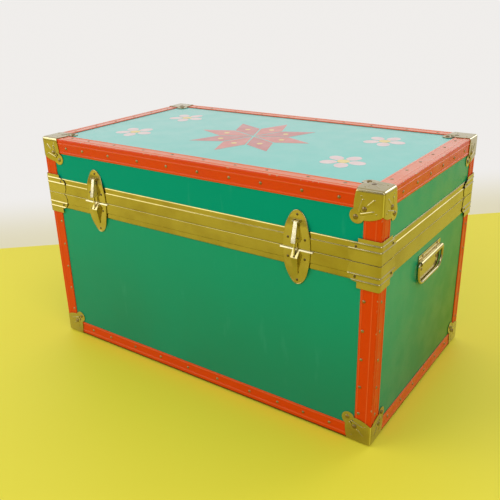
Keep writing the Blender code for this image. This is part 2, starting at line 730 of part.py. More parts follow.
def make_handle(side, x_sign, brass, steel, chest, pivot):
    """Plate rolled into a barrel along its top, and the bail whose two ends turn in the barrel."""
    half = HANDLE_WIDTH / 2
    face_x = HALF_LENGTH + SEAT
    top = HANDLE_Z + HANDLE_PLATE_TOP
    bottom = HANDLE_Z - HANDLE_PLATE_DROP
    flat = [Vector((face_x, y, z)) for y, z in ((half, top), (half, bottom), (-half, bottom), (-half, top))]
    outline = [flat[0]]
    outline += round_corner(flat[0], flat[1], flat[2], HANDLE_PLATE_ROUND)
    outline += round_corner(flat[1], flat[2], flat[3], HANDLE_PLATE_ROUND)
    outline.append(flat[3])
    turn = Matrix.Rotation(0.0 if x_sign > 0 else math.pi, 4, "Z")
    plate = add_piece(f"handle_plate_{side}", prism(outline, Vector((HANDLE_SHEET, 0, 0))), brass, None)
    axis_x = HALF_LENGTH + BAIL_STAND
    combine(plate, bar_along_y(axis_x, -half, half, HANDLE_Z, BARREL_RADIUS), "UNION")
    bore_end = half + BAIL_STUB
    combine(plate, bar_along_y(axis_x, -bore_end, bore_end, HANDLE_Z, BARREL_BORE), "DIFFERENCE")
    shade(plate)
    plate.parent = chest
    plate.matrix_basis = turn
    make_bail(side, x_sign, steel, pivot)


def make_bail(side, x_sign, finish, pivot):
    """A bent rod, as a curve: two stubs in the barrel, two legs and a round-cornered grip."""
    half = HANDLE_WIDTH / 2
    leg = half + BAIL_SIDE_GAP + BAIL_ROD / 2
    one_side = [(half - BAIL_STUB, 0), (leg, 0), (leg, -BAIL_DROP)]
    both_sides = one_side + [(-y, z) for y, z in reversed(one_side)]
    corners = [Vector((0, y, z)) for y, z in both_sides]
    path = [corners[0]]
    for index, radius in ((1, BAIL_BEND), (2, BAIL_GRIP_BEND), (3, BAIL_GRIP_BEND), (4, BAIL_BEND)):
        path += round_corner(corners[index - 1], corners[index], corners[index + 1], radius)
    path.append(corners[-1])
    curve = bpy.data.curves.new(f"handle_bail_{side}", "CURVE")
    curve.dimensions = "3D"
    curve.bevel_depth = BAIL_ROD / 2
    curve.bevel_resolution = ROD_SIDES // 2 - 2
    curve.use_fill_caps = True
    spline = curve.splines.new("POLY")
    spline.points.add(len(path) - 1)
    for point, place in zip(spline.points, path):
        point.co = (*place, 1.0)
    curve.materials.append(finish)
    bail = bpy.data.objects.new(f"handle_bail_{side}", curve)
    bpy.context.scene.collection.objects.link(bail)
    bail.parent = pivot


def hinge_leaf(name, x, up, knuckles, finish, pivot):
    """A leaf on the rim band with its knuckles round the pin; each knuckle is a stretch along X."""
    half = HINGE_WIDTH / 2
    face_y = HALF_DEPTH + HINGE_STAND
    clear = KNUCKLE_RADIUS + END_GAP
    seam_side = []
    for low, high in knuckles:
        for along, rise in ((low, clear), (low, 0.0), (high, 0.0), (high, clear)):
            if abs(along) < half or rise == 0.0:
                seam_side.append((along, rise))
    if abs(seam_side[0][0]) < half:
        seam_side = [(-half, clear)] + seam_side + [(half, clear)]
    far = [Vector((along, 0, rise)) for along, rise in
           ((half, clear), (half, HINGE_LEAF), (-half, HINGE_LEAF), (-half, clear))]
    far_side = round_corner(far[0], far[1], far[2], HINGE_LEAF_ROUND)
    far_side += round_corner(far[1], far[2], far[3], HINGE_LEAF_ROUND)
    outline = [Vector((x + along, face_y, SEAM_Z + up * rise)) for along, rise in seam_side]
    outline += [Vector((x + point.x, face_y, SEAM_Z + up * point.z)) for point in far_side]
    leaf = add_piece(name, prism(outline, Vector((0, HINGE_SHEET, 0))), finish, pivot)
    for low, high in knuckles:
        combine(leaf, bar_along_x(x + low, x + high, HINGE_AXIS_Y, SEAM_Z, KNUCKLE_RADIUS), "UNION")
    bore = bar_along_x(x - HINGE_WIDTH, x + HINGE_WIDTH, HINGE_AXIS_Y, SEAM_Z, HINGE_PIN / 2 + RUNNING_GAP)
    combine(leaf, bore, "DIFFERENCE")
    shade(leaf)


def make_hinge(side, x, brass, steel, chest, lid):
    """Chest leaf with two outer knuckles, lid leaf with the middle one, and the headed pin through them."""
    half = HINGE_WIDTH / 2
    middle = KNUCKLE_MIDDLE / 2
    outer = middle + END_GAP
    hinge_leaf(f"hinge_chest_leaf_{side}", x, -1, ((-half, -outer), (outer, half)), brass, chest)
    hinge_leaf(f"hinge_lid_leaf_{side}", x, 1, ((-middle, middle),), brass, lid)
    head = half + SEAT
    right = [(head, HINGE_PIN / 2), (head, PIN_HEAD / 2), (head + PIN_HEAD_HEIGHT / 2, PIN_HEAD / 2),
             (head + PIN_HEAD_HEIGHT, PIN_HEAD / 3)]
    left = [(-along, radius) for along, radius in reversed(right)]
    sections = []
    for along, radius in left + right:
        centre = Vector((x + along, HINGE_AXIS_Y, SEAM_Z))
        sections.append(circle(centre, radius, Vector((0, 1, 0)), Vector((0, 0, 1))))
    pin = add_piece(f"hinge_pin_{side}", loft(sections), steel, chest)
    shade(pin)


def main():
    clear_scene()
    green = make_finish("green_paint", (0.02, 0.30, 0.17), 0.0, 0.35)
    orange = make_finish("orange_paint", (0.62, 0.06, 0.005), 0.0, 0.40)
    brass = make_finish("brass_plate", (0.42, 0.32, 0.06), 1.0, 0.32)
    steel = make_finish("plated_steel", (0.45, 0.42, 0.32), 1.0, 0.30)

    chest = add_pivot("chest_body", (0, 0, 0))
    lid = add_pivot("lid_body", (0, HINGE_AXIS_Y, SEAM_Z))
    make_boards("chest", CASE_BOTTOM, 1, SEAM_Z, green, chest)
    make_boards("lid", CASE_TOP, -1, SEAM_Z, green, lid)
    make_angles("chest", CASE_BOTTOM, 1, SEAM_Z, orange, chest)
    make_angles("lid", CASE_TOP, -1, SEAM_Z, orange, lid)
    make_corner_fittings(brass, chest, lid)
    make_bands(brass, chest, lid)
    for side, sign in SIDES:
        latch_x = sign * (HALF_LENGTH - LATCH_INSET)
        lever_pivot = add_pivot(f"latch_pivot_{side}", on_front(latch_x, PIVOT_STAND, PIVOT_RISE))
        bail_pivot = add_pivot(f"bail_pivot_{side}", (sign * (HALF_LENGTH + BAIL_STAND), 0, HANDLE_Z))
        make_lid_latch(side, latch_x, brass, lid)
        make_lever(side, latch_x, brass, lever_pivot)
        make_catch(side, latch_x, brass, chest)
        make_handle(side, sign, brass, steel, chest, bail_pivot)
        make_hinge(side, sign * (HALF_LENGTH - HINGE_INSET), brass, steel, chest, lid)


main()
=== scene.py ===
"""Looks of the travel trunk: finishes, stamped fittings, rivets, lid design, lining, light and camera.

Metres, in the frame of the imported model. A stand-off is a distance out from a board face.
"""

import json
import math

import bmesh
import bpy
from mathutils import Matrix, Vector


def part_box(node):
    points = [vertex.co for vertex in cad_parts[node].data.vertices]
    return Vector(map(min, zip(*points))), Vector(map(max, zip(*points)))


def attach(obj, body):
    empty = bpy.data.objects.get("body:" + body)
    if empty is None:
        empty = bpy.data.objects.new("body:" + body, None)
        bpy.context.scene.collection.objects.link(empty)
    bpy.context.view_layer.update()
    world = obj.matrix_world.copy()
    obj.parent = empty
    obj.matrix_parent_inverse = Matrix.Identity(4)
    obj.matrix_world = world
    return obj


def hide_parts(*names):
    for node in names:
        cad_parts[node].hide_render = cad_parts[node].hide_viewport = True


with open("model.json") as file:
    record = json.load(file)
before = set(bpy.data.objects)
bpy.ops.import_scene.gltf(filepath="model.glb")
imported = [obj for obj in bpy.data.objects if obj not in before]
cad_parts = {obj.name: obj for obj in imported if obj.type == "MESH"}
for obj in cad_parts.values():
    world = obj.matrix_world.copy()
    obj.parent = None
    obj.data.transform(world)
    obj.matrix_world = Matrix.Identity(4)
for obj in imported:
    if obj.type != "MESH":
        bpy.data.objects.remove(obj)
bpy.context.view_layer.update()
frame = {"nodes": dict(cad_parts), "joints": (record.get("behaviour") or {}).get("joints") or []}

# Case, from the frame
LID_LOW, LID_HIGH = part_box("lid_top")
HALF_LENGTH = LID_HIGH.x
HALF_DEPTH = LID_HIGH.y
CASE_TOP = LID_HIGH.z
BOARD = LID_HIGH.z - LID_LOW.z
CASE_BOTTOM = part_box("chest_bottom")[0].z
JOINTS = {joint["name"]: joint for joint in frame["joints"]}
SEAM_Z = JOINTS["lid_hinge"]["pos_m"][2]
LATCH_X = JOINTS["latch_lever_right_swing"]["pos_m"][0]
HINGE_X = sum(corner.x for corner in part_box("hinge_pin_right")) / 2
HANDLE_Z = JOINTS["handle_bail_right_swing"]["pos_m"][2]
BAIL_X = JOINTS["handle_bail_right_swing"]["pos_m"][0]

Z_AXIS = 2
SIDES = (("left", -1), ("right", 1))
CORNERS = (("front_left", -1, -1), ("front_right", 1, -1), ("back_left", -1, 1), ("back_right", 1, 1))
HALVES = (("chest", -1, CASE_BOTTOM), ("lid", 1, CASE_TOP))

# Edges: rounding widths and steps, least turns in degrees to round or keep sharp, and merge distances
BOARD_ROUND = 0.0006
FITTING_ROUND = 0.0005
BAND_ROUND = 0.0004
PIN_ROUND = 0.0003
SLEEVE_ROUND = 0.00025
SHEET_ROUND = 0.0002
ROUND_STEPS = 2
PROFILE_TURN = 30
SOLID_TURN = 35
SHARP_TURN = 40
SHEET_TURN = 60
MERGE = 0.000002
SOLID_MERGE = 0.00002

# Stamped corner
CAP_FACE = 0.0028
CAP_SHEET = 0.0006
CAP_ARRIS = 0.0048
CAP_REACH = (0.0446, 0.0446, 0.0388)
CAP_RIM_DROP = 0.0003
ANGLE_LEG = 0.0288
EAR_RADIUS = 0.0126
EAR_OFFSET = 0.0116
EAR_NECK = 0.0015
EAR_CLEAR = 0.0010
EAR_RAMP = 0.0034
EAR_FACE = 0.0015
PLATE_RAYS = 12
RAY_CROWDING = 1.5
EAR_RAYS = 6
INNER_RINGS = (0.0013, 0.0027, 0.0042, 0.0060, 0.0085, 0.0120)
MIDDLE_RINGS = 9
RIM_RINGS = (0.0024, 0.0011, 0.0004, 0.0)
RIB_WIDTH = 0.0046
RIB_RISE = 0.0010
FLAT_RIB_RISE = 0.0005
RIB_END_STEPS = 4
RIB_ROUND_STEPS = 8
RIB_TIP_PART = 12
RIBS = (
    ((0.0224, 0.0224), (0.0130, 0.0130)),
    ((0.0330, 0.0368), (0.0140, 0.0310)),
    ((0.0368, 0.0330), (0.0310, 0.0140)),
)

# Rim band
SEAM_GAP = 0.0006
BAND_WIDTH = 0.032
BAND_BACK = 0.0003
BAND_FACE = 0.0025
BAND_MARGIN_FACE = 0.0015
BAND_EDGE = 0.0009
BAND_EDGE_RUN = 0.0015
BAND_STEP_RUN = 0.0012
BAND_SEAM_EDGE = 0.0005
BAND_SEAM_RUN = 0.0009
BAND_FLANGE = 0.0012
TONGUE_RISE = 0.008
TONGUE_SHEET = 0.0012
TONGUE_GAP = 0.0006

# Corner sleeve
EDGE_LIP = 0.0015
RIDGE_FROM_SEAM = 0.0212
SLEEVE_FACE = 0.0035
SLEEVE_SHEET = 0.0008
SLEEVE_RIDGE_RISE = 0.0011
SLEEVE_RIDGE_WIDTH = 0.0044
SLEEVE_TAB = {"chest": 0.0120, "lid": 0.0075}
SLEEVE_TAB_LEG = 0.0355
SLEEVE_EAR_LEG = 0.052
SLEEVE_EAR_FULLNESS = 0.5
SLEEVE_ROWS = 60
SLEEVE_TURN_STEPS = 8
SLEEVE_LEG_STATIONS = (1.0, 0.97, 0.85, 0.60, 0.30, 0.08)

# Handle bail
BAIL_ROD = 0.0052
BAIL_LEG = 0.0589
BAIL_STUB_END = 0.043
BAIL_DROP = 0.040
BAIL_BEND = 0.0050
BAIL_GRIP_BEND = 0.024
BAIL_BEND_STEPS = 12

# Latch: the plate's outline and faces, its rolled rim, and the catch's lip as (stand-off, drop) over its face
LATCH_LENGTH = 0.131
LATCH_WIDTH = 0.052
LATCH_FACE = 0.0041
LATCH_TIP_FACE = 0.0015
LATCH_FLAT_RISE = 0.0345
LATCH_SLOPE_RUN = 0.0190
RIM_RADIUS = 0.0010
RIM_DEPTH = 0.0006
RIM_INSET = 0.0009
RIM_FROM_SEAM = 0.0014
RIM_STEPS = 48
LIP_LENGTH = 0.062
LIP_PROFILE = ((-0.0004, 0.0034), (0.0018, 0.0030), (0.0003, 0.0006), (-0.0004, 0.0006))
ROD_SIDES = 20

# Rivets: head radius and height, and where the rows run; the long rows are listed one by one, and run
# unevenly
ANGLE_FACE = 0.0013
ANGLE_RIVET = (0.0029, 0.0015)
FLAT_ANGLE_RIVET = (0.0029, 0.0007)
CORNER_RIVET = (0.0043, 0.0018)
FLAT_CORNER_RIVET = (0.0043, 0.0006)
NAIL = (0.0016, 0.0006)
SLEEVE_RIVET = (0.0023, 0.0010)
LATCH_RIVET = (0.0023, 0.0010)
HANDLE_RIVET = (0.0030, 0.0013)
HINGE_RIVET = (0.0028, 0.0012)
RIVET_SIDES = 16
RIVET_STEPS = 5
RIVET_ROOT = 0.0003
LONG_ROW = {
    "lid": (-0.310, -0.262, -0.190, -0.113, -0.041, 0.031, 0.100, 0.164, 0.242, 0.307),
    "chest": (-0.299, -0.243, -0.169, -0.096, -0.022, 0.053, 0.130, 0.193, 0.248, 0.301),
}
SHORT_ROW = (0.147, 6)
ROW_FROM_EDGE = 0.016
FLAT_ROW_FROM_EDGE = 0.018
UPRIGHT_LOW = 0.060
UPRIGHT_HIGH = 0.272
UPRIGHT_COUNT = 5
UPRIGHT_FROM_EDGE = {"front": 0.0222, "end": 0.0118}
EAR_RIVET_AT = 0.0425
PLATE_RIVET_AT = 0.0280
NAIL_AT = (0.0335, 0.0086)
SLEEVE_RIVET_FROM_EDGE = 0.039
SLEEVE_RIVET_RISE = 0.0254
LATCH_TIP_RISE = 0.0575
LATCH_SIDE = (0.016, 0.017)
HANDLE_FACE = 0.0018
HANDLE_RIVETS = ((0.036, 0.0105), (0.036, -0.016))
HINGE_FACE = 0.0044
HINGE_RIVETS = ((-0.022, 0.013), (0.0, 0.021), (0.022, 0.013))

# Printed design on the lid: its shapes, and the plain and the worn colour of each ink
INK = 0.00008
PRINT_LIFT = 0.00002
STAR_SIDE = 0.072
STAR_POINTS = 8
STAR_SHRINK = 0.94
DOT_RADIUS = 0.0055
FLOWER_PLACES = ((-0.245, -0.085), (0.245, -0.085), (-0.245, 0.085), (0.245, 0.085))
FLOWER_PETALS = 5
PETAL_LENGTH = 0.030
PETAL_WIDTH = 0.024
PETAL_AT = 0.026
FLOWER_EYE = 0.011
ROUND_SIDES = 32
INKS = {
    "star_red": ("scene_ink_red", (0.62, 0.085, 0.050), (0.70, 0.13, 0.08)),
    "star_deep_red": ("scene_ink_deep_red", (0.50, 0.045, 0.035), (0.58, 0.08, 0.05)),
    "dots": ("scene_ink_yellow", (0.82, 0.60, 0.06), (0.88, 0.68, 0.14)),
    "petals": ("scene_ink_pink", (0.78, 0.55, 0.55), (0.84, 0.66, 0.64)),
}

# Shared by the finishes: varnish weight and roughness, and the ranges that noise and masks fade over
VARNISH = (1.0, 0.22)
MID_RANGE = (0.30, 0.70)
WORN_RANGE = (0.35, 0.75)
LOOKS_UP = (0.70, 0.95)
TWO_SIDES = (1.1, 1.9)

# Board paint: deep, pale and scuffed colours, how much it mirrors, noise as (features per metre, detail)
GREEN = ((0.000, 0.285, 0.166), (0.000, 0.325, 0.189), (0.05, 0.42, 0.30))
LID_GREEN = ((0.000, 0.285, 0.190), (0.000, 0.325, 0.216), (0.05, 0.42, 0.30))
# A paler copy of the board green for the end boards: painted light on the ends
LIT_END_GREEN = ((0.000, 0.330, 0.190), (0.000, 0.372, 0.214), (0.05, 0.42, 0.30))
# Paler green on the lid's top: painted reflection of the pale wall
TOP_REFLECTION_GREEN = ((0.088, 0.600, 0.520), (0.108, 0.640, 0.560), (0.16, 0.69, 0.62))
PAINT_SPECULAR = 0.15
LID_WALL_SPECULAR = 0.03
END_SPECULAR = 0.22
PAINT_CLOUD = (2.6, 4.0)
PAINT_SCUFF = (9.0, 6.0, (5, 5, 1))
SCUFF_RANGE = (0.63, 0.78)
SCUFF_MOST = 0.22
PAINT_SHEEN = (22.0, 5.0)
PAINT_ROUGHNESS = (0.28, 0.40)
PAINT_GRAIN = (620.0, 2.0)
PAINT_RELIEF = 0.00006

# Painted shade low on the boards, darker toward the floor: colour, the height that it fades out at, share at
# the foot, and clouds
PAINTED_FOOT_SHADE = (0.030, 0.075, 0.012)
FOOT_SHADE_TOP = 0.34
FOOT_SHADE_MOST = 0.36
FOOT_SHADE_CLOUD = (4.0, 4.0)
FOOT_SHADE_RANGE = (0.25, 0.65)
FOOT_SHADE_LEAST = 0.6

# Painted yellow light on the end boards: colour, share at the back, and the part of that left at the top
PAINTED_YELLOW_LIGHT = (0.060, 0.260, 0.008)
YELLOW_LIGHT_MOST = 0.85
YELLOW_LIGHT_AT_TOP = 0.30

# Enamel on the angles: two tones, and the colours of the painted reflection on top, the painted highlight on
# the beads, the chips and the painted contact shadow at the foot
ORANGE = ((0.620, 0.040, 0.000), (0.690, 0.056, 0.001))
TOP_REFLECTION_ORANGE = (0.800, 0.140, 0.004)
BEAD_HIGHLIGHT_ORANGE = (0.90, 0.24, 0.07)
BARE_STEEL = (0.46, 0.30, 0.16)
FOOT_CONTACT_SHADOW = (0.045, 0.014, 0.004)
END_ENAMEL_SPECULAR = 0.45
ENAMEL_COAT = 0.12
ENAMEL_CLOUD = (5.0, 4.0)
ENAMEL_SHEEN = (30.0, 5.0)
ENAMEL_ROUGHNESS = (0.28, 0.42)
ENAMEL_GRAIN = (480.0, 2.0)
ENAMEL_RELIEF = 0.00007
# Painted highlight on the bead crests: where the crests stand, its clouds, its share, and the share on faces
# that don't look up
BEAD_CREST = (ANGLE_FACE + 0.0002, ANGLE_FACE + 0.0006)
BEAD_CLOUD = (7.0, 4.0)
BEAD_HIGHLIGHT_SHARE = (0.40, 0.75)
BEAD_SIDE_HIGHLIGHT = 0.35
CHIP_EDGE = (-0.0012, 0.0004)
CHIPS = (130.0, 4.0)
CHIP_RANGE = (0.60, 0.66)
# Heights over which the painted contact shadow at the foot fades out
CONTACT_SHADOW_FADE = (CASE_BOTTOM + 0.0002, CASE_BOTTOM + 0.0034)

# Plated metals: bright and dull colour, least and most roughness
BRASS = ((0.44, 0.37, 0.155), (0.34, 0.27, 0.09), (0.12, 0.20))
# A darker copy of the brass on the bands: painted shade of the shadowed floor that they mirror
SHADED_BAND_BRASS = ((0.390, 0.322, 0.104), (0.300, 0.234, 0.062), (0.12, 0.20))
# A paler copy of the brass on the latch levers: painted highlight, so their faces mirror near white
HIGHLIGHT_LEVER_BRASS = ((0.62, 0.56, 0.36), (0.48, 0.42, 0.23), (0.12, 0.20))
BRIGHT_ROD = ((0.44, 0.39, 0.22), (0.31, 0.26, 0.12), (0.12, 0.24))
DULL_RIVET = ((0.34, 0.24, 0.11), (0.20, 0.12, 0.05), (0.28, 0.45))
DARK_RIVET = ((0.28, 0.20, 0.07), (0.16, 0.10, 0.04), (0.30, 0.48))
BLACK_RIVET = ((0.13, 0.090, 0.030), (0.07, 0.045, 0.015), (0.34, 0.52))
PLATING_LACQUER = (0.5, 0.10)
# Painted highlight along the folds of the stamped corners: colour, and the stand-offs it fades in between
FOLD_HIGHLIGHT = (0.72, 0.66, 0.46)
FOLD_HIGHLIGHT_REACH = (0.0004, 0.0014)
TARNISH = (16.0, 5.0)
TARNISH_RANGE = (0.40, 0.75)
SCRATCHES = (120.0, 3.0)
SCRATCH_RANGE = (0.35, 0.70)
DENTS = (90.0, 3.0)
DENT_RELIEF = (0.00008, 0.5)

# Ink and lining paper
INK_WEAR = (55.0, 6.0)
INK_SHEEN = (40.0, 4.0)
INK_ROUGHNESS = (0.30, 0.42)
PAPER = ((0.72, 0.64, 0.47), (0.64, 0.54, 0.37))
PAPER_FIBRE = (420.0, 4.0, (1, 1, 6))
PAPER_BLOTCH = (6.0, 5.0)
PAPER_ROUGHNESS = (0.78, 0.92)
PAPER_RELIEF = (0.00015, 0.6)

# Lining inside the boards
LINING = 0.0005
LINING_GAP = 0.0001
CHEST_LINING_TOP = SEAM_Z - 0.004
LID_LINING_FOOT = SEAM_Z + 0.010

# Camera, the line on the floor where the wall stands, and the lamps: place, target, width and height, watts
CAMERA_PLACE = (0.7312, -1.0504, 0.7371)
CAMERA_YAW = math.radians(35.42)
CAMERA_PITCH = math.radians(-22.59)
CAMERA_ROLL = math.radians(1.48)
LENS = 46.26
SENSOR = 36.0
WALL_FOOT = Vector((-0.958, 0.0))
WALL_END = Vector((0.234, 1.105))
WALL_WHITE = (0.87, 0.85, 0.83)
# Painted yellow bounce light from the floor at the foot of the backdrop, and the distance it fades over
PAINTED_FLOOR_BOUNCE = (0.74, 0.69, 0.50)
FLOOR_BOUNCE_REACH = 0.55
ROOM_GREY = (0.50, 0.49, 0.48)
ROOM_TURN = (-0.35, 0.55)
FLOOR_REACH = 30.0
FLOOR_YELLOW = ((0.85, 0.755, 0.036), (0.89, 0.795, 0.052))
FLOOR_CLOUD = (1.5, 3.0)
FLOOR_ROUGHNESS = 0.6
LAMPS = (
    ("key", (-1.60, -1.75, 1.20), (0, 0, 0.40), (2.0, 1.6), 23.0),
    ("fill", (1.50, -1.00, 1.60), (0, 0, 0.25), (1.2, 1.2), 9.5),
    ("back", (1.05, 1.65, 1.15), (0, 0, 0.40), (0.9, 0.9), 5.0),
)


class Nodes:
    """Short ways to add shader nodes to a tree."""

    def __init__(self, tree):
        self.tree = tree

    def add(self, kind, **inputs):
        """A node, with a value or an output fed to each named input."""
        node = self.tree.nodes.new(f"ShaderNode{kind}")
        for name, value in inputs.items():
            self.feed(node.inputs[name], value)
        return node

    def feed(self, socket, value):
        """Link an output to a socket, or set the socket to a value."""
        if isinstance(value, bpy.types.NodeSocket):
            self.tree.links.new(value, socket)
        else:
            socket.default_value = value

    def spread(self, value, low, high, to_low=0.0, to_high=1.0):
        """A value mapped smoothly from one range to another."""
        node = self.add("MapRange", Value=value)
        node.interpolation_type = "SMOOTHSTEP"
        for name, number in (("From Min", low), ("From Max", high), ("To Min", to_low), ("To Max", to_high)):
            node.inputs[name].default_value = number
        return node.outputs["Result"]

    def maths(self, operation, first, second=0.0):
        node = self.add("Math")
        node.operation = operation
        self.feed(node.inputs[0], first)
        self.feed(node.inputs[1], second)
        return node.outputs["Value"]

    def mix(self, part, first, second):
        """A colour between two others."""
        node = self.add("Mix")
        node.data_type = "RGBA"
        self.feed(node.inputs["Factor"], part)
        for name, colour in (("A", first), ("B", second)):
            plain = not isinstance(colour, bpy.types.NodeSocket)
            self.feed(node.inputs[name], (*colour, 1.0) if plain else colour)
        return node.outputs["Result"]


class Finish(Nodes):
    """A procedural material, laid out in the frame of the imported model."""

    def __init__(self, name, metallic=0.0):
        self.material = bpy.data.materials.new(name)
        self.material.use_nodes = True
        super().__init__(self.material.node_tree)
        self.shader = self.tree.nodes["Principled BSDF"]
        self.shader.inputs["Metallic"].default_value = metallic
        self.coordinates = self.add("TexCoord").outputs["Object"]

    def noise(self, scale, detail, stretch=(1, 1, 1)):
        """Cloudy values from 0 to 1; the scale is in features per metre."""
        mapping = self.add("Mapping", Scale=stretch, Vector=self.coordinates)
        node = self.add("TexNoise", Scale=scale, Detail=detail, Vector=mapping.outputs["Vector"])
        return node.outputs["Fac"]

    def uneven(self, noise, part, to_low=0.0, to_high=1.0):
        """Noise, with one part of its range mapped to another range."""
        return self.spread(self.noise(*noise), *part, to_low, to_high)

    def along(self, axis):
        """One coordinate of the point."""
        return self.add("SeparateXYZ", Vector=self.coordinates).outputs[axis]

    def upward(self, others, up):
        """One value on the faces that look up, and another on the others."""
        split = self.add("SeparateXYZ", Vector=self.add("TexCoord").outputs["Normal"])
        return self.spread(split.outputs["Z"], *LOOKS_UP, others, up)

    def bump(self, height, distance, strength=1.0):
        """Relief of a given depth in metres."""
        node = self.add("Bump", Strength=strength, Distance=distance, Height=height)
        self.feed(self.shader.inputs["Normal"], node.outputs["Normal"])

    def lacquer(self, weight, roughness):
        """A clear coat over the colour."""
        self.feed(self.shader.inputs["Coat Weight"], weight)
        self.shader.inputs["Coat Roughness"].default_value = roughness

    def varnish_top(self, side_weight):
        """A clear coat, heavier on the faces that look up."""
        weight, roughness = VARNISH
        self.lacquer(self.upward(side_weight, weight), roughness)

    def specular(self, level):
        self.shader.inputs["Specular IOR Level"].default_value = level

    def colour(self, value):
        self.feed(self.shader.inputs["Base Color"], value)

    def roughness(self, value):
        self.feed(self.shader.inputs["Roughness"], value)


def reached_sides(finish, low, high):
    """How many sides of the case a point has reached: none within a low stand-off, each past a high one."""
    height = finish.maths("SUBTRACT", finish.along("Z"), (CASE_TOP + CASE_BOTTOM) / 2)
    total = 0.0
    for value, half in ((finish.along("X"), HALF_LENGTH), (finish.along("Y"), HALF_DEPTH),
                        (height, (CASE_TOP - CASE_BOTTOM) / 2)):
        near = finish.spread(finish.maths("ABSOLUTE", value), half + low, half + high)
        total = finish.maths("ADD", near, total)
    return total


def arris_mask(finish, low, high):
    """1 along the outer edges of the case, where two of its sides meet, and 0 on its faces."""
    return finish.spread(reached_sides(finish, low, high), *TWO_SIDES)


def bead_highlight_mask(finish):
    """Painted highlight on the crests of the angles' beads, most on those that look up, and uneven."""
    crest = reached_sides(finish, *BEAD_CREST)
    worn = finish.maths("MULTIPLY", crest, finish.uneven(BEAD_CLOUD, MID_RANGE, *BEAD_HIGHLIGHT_SHARE))
    return finish.maths("MULTIPLY", worn, finish.upward(BEAD_SIDE_HIGHLIGHT, 1.0))


def foot_shade_mask(finish):
    """Painted shade that thickens toward the foot of the case, in soft clouds."""
    low = finish.spread(finish.along("Z"), CASE_BOTTOM, FOOT_SHADE_TOP, FOOT_SHADE_MOST, 0.0)
    return finish.maths("MULTIPLY", low, finish.uneven(FOOT_SHADE_CLOUD, FOOT_SHADE_RANGE, FOOT_SHADE_LEAST, 1.0))


def yellow_light_mask(finish):
    """Painted yellow light that grows toward the back and the foot of the end boards."""
    back = finish.spread(finish.along("Y"), -HALF_DEPTH, HALF_DEPTH, 0.0, YELLOW_LIGHT_MOST)
    low = finish.spread(finish.along("Z"), CASE_BOTTOM, CASE_TOP, 1.0, YELLOW_LIGHT_AT_TOP)
    return finish.maths("MULTIPLY", back, low)


def make_green(name, tones, specular=PAINT_SPECULAR, yellow_lit=False):
    """Satin paint rolled on board, a little scuffed, with painted shade toward the foot."""
    deep, pale, scuffed = tones
    finish = Finish(name)
    finish.specular(specular)
    finish.varnish_top(0.0)
    tone = finish.mix(finish.noise(*PAINT_CLOUD), deep, pale)
    if yellow_lit:
        # Painted yellow light on the end boards
        tone = finish.mix(yellow_light_mask(finish), tone, PAINTED_YELLOW_LIGHT)
    painted = finish.mix(finish.uneven(PAINT_SCUFF, SCUFF_RANGE, 0.0, SCUFF_MOST), tone, scuffed)
    # Painted shade, darker toward the foot of the case
    finish.colour(finish.mix(foot_shade_mask(finish), painted, PAINTED_FOOT_SHADE))
    finish.roughness(finish.uneven(PAINT_SHEEN, MID_RANGE, *PAINT_ROUGHNESS))
    finish.bump(finish.noise(*PAINT_GRAIN), PAINT_RELIEF)
    return finish.material


def make_orange(name, specular):
    """Enamel on steel: painted reflection on top, painted highlight on the beads, chipped along the edges,
    painted contact shadow at the foot.
    """
    finish = Finish(name)
    finish.specular(specular)
    finish.varnish_top(ENAMEL_COAT)
    tone = finish.mix(finish.noise(*ENAMEL_CLOUD), *ORANGE)
    # Painted reflection on the faces that look up
    top_reflection = finish.mix(finish.upward(0.0, 1.0), tone, TOP_REFLECTION_ORANGE)
    # Painted highlight on the bead crests
    highlighted = finish.mix(bead_highlight_mask(finish), top_reflection, BEAD_HIGHLIGHT_ORANGE)
    chips = finish.maths("MULTIPLY", arris_mask(finish, *CHIP_EDGE), finish.uneven(CHIPS, CHIP_RANGE))
    chipped = finish.mix(chips, highlighted, BARE_STEEL)
    # Painted contact shadow along the foot
    foot = finish.spread(finish.along("Z"), *CONTACT_SHADOW_FADE, 1.0, 0.0)
    finish.colour(finish.mix(foot, chipped, FOOT_CONTACT_SHADOW))
    finish.roughness(finish.uneven(ENAMEL_SHEEN, MID_RANGE, *ENAMEL_ROUGHNESS))
    finish.bump(finish.noise(*ENAMEL_GRAIN), ENAMEL_RELIEF)
    return finish.material


def make_metal(name, tones, highlighted=False):
    """Plated metal with cloudy tarnish, faint scratches and small dents, and a painted highlight along the
    folds where asked for.
    """
    bright, dull, roughness = tones
    finish = Finish(name, metallic=1.0)
    tone = finish.mix(finish.uneven(TARNISH, TARNISH_RANGE), bright, dull)
    if highlighted:
        # Painted highlight along the folds
        tone = finish.mix(arris_mask(finish, *FOLD_HIGHLIGHT_REACH), tone, FOLD_HIGHLIGHT)
    finish.colour(tone)
    finish.lacquer(*PLATING_LACQUER)
    finish.roughness(finish.uneven(SCRATCHES, SCRATCH_RANGE, *roughness))
    finish.bump(finish.noise(*DENTS), *DENT_RELIEF)
    return finish.material


def make_ink(name, plain, worn):
    """Printed ink, slightly uneven, under the varnish."""
    finish = Finish(name)
    finish.lacquer(*VARNISH)
    finish.colour(finish.mix(finish.uneven(INK_WEAR, WORN_RANGE), plain, worn))
    finish.roughness(finish.uneven(INK_SHEEN, MID_RANGE, *INK_ROUGHNESS))
    finish.bump(finish.noise(*PAINT_GRAIN), PAINT_RELIEF)
    return finish.material


def make_paper():
    """Cream lining paper with a fine laid texture."""
    finish = Finish("scene_lining_paper")
    fibre = finish.noise(*PAPER_FIBRE)
    finish.colour(finish.mix(finish.uneven(PAPER_BLOTCH, WORN_RANGE), *PAPER))
    finish.roughness(finish.spread(fibre, *MID_RANGE, *PAPER_ROUGHNESS))
    finish.bump(fibre, *PAPER_RELIEF)
    return finish.material


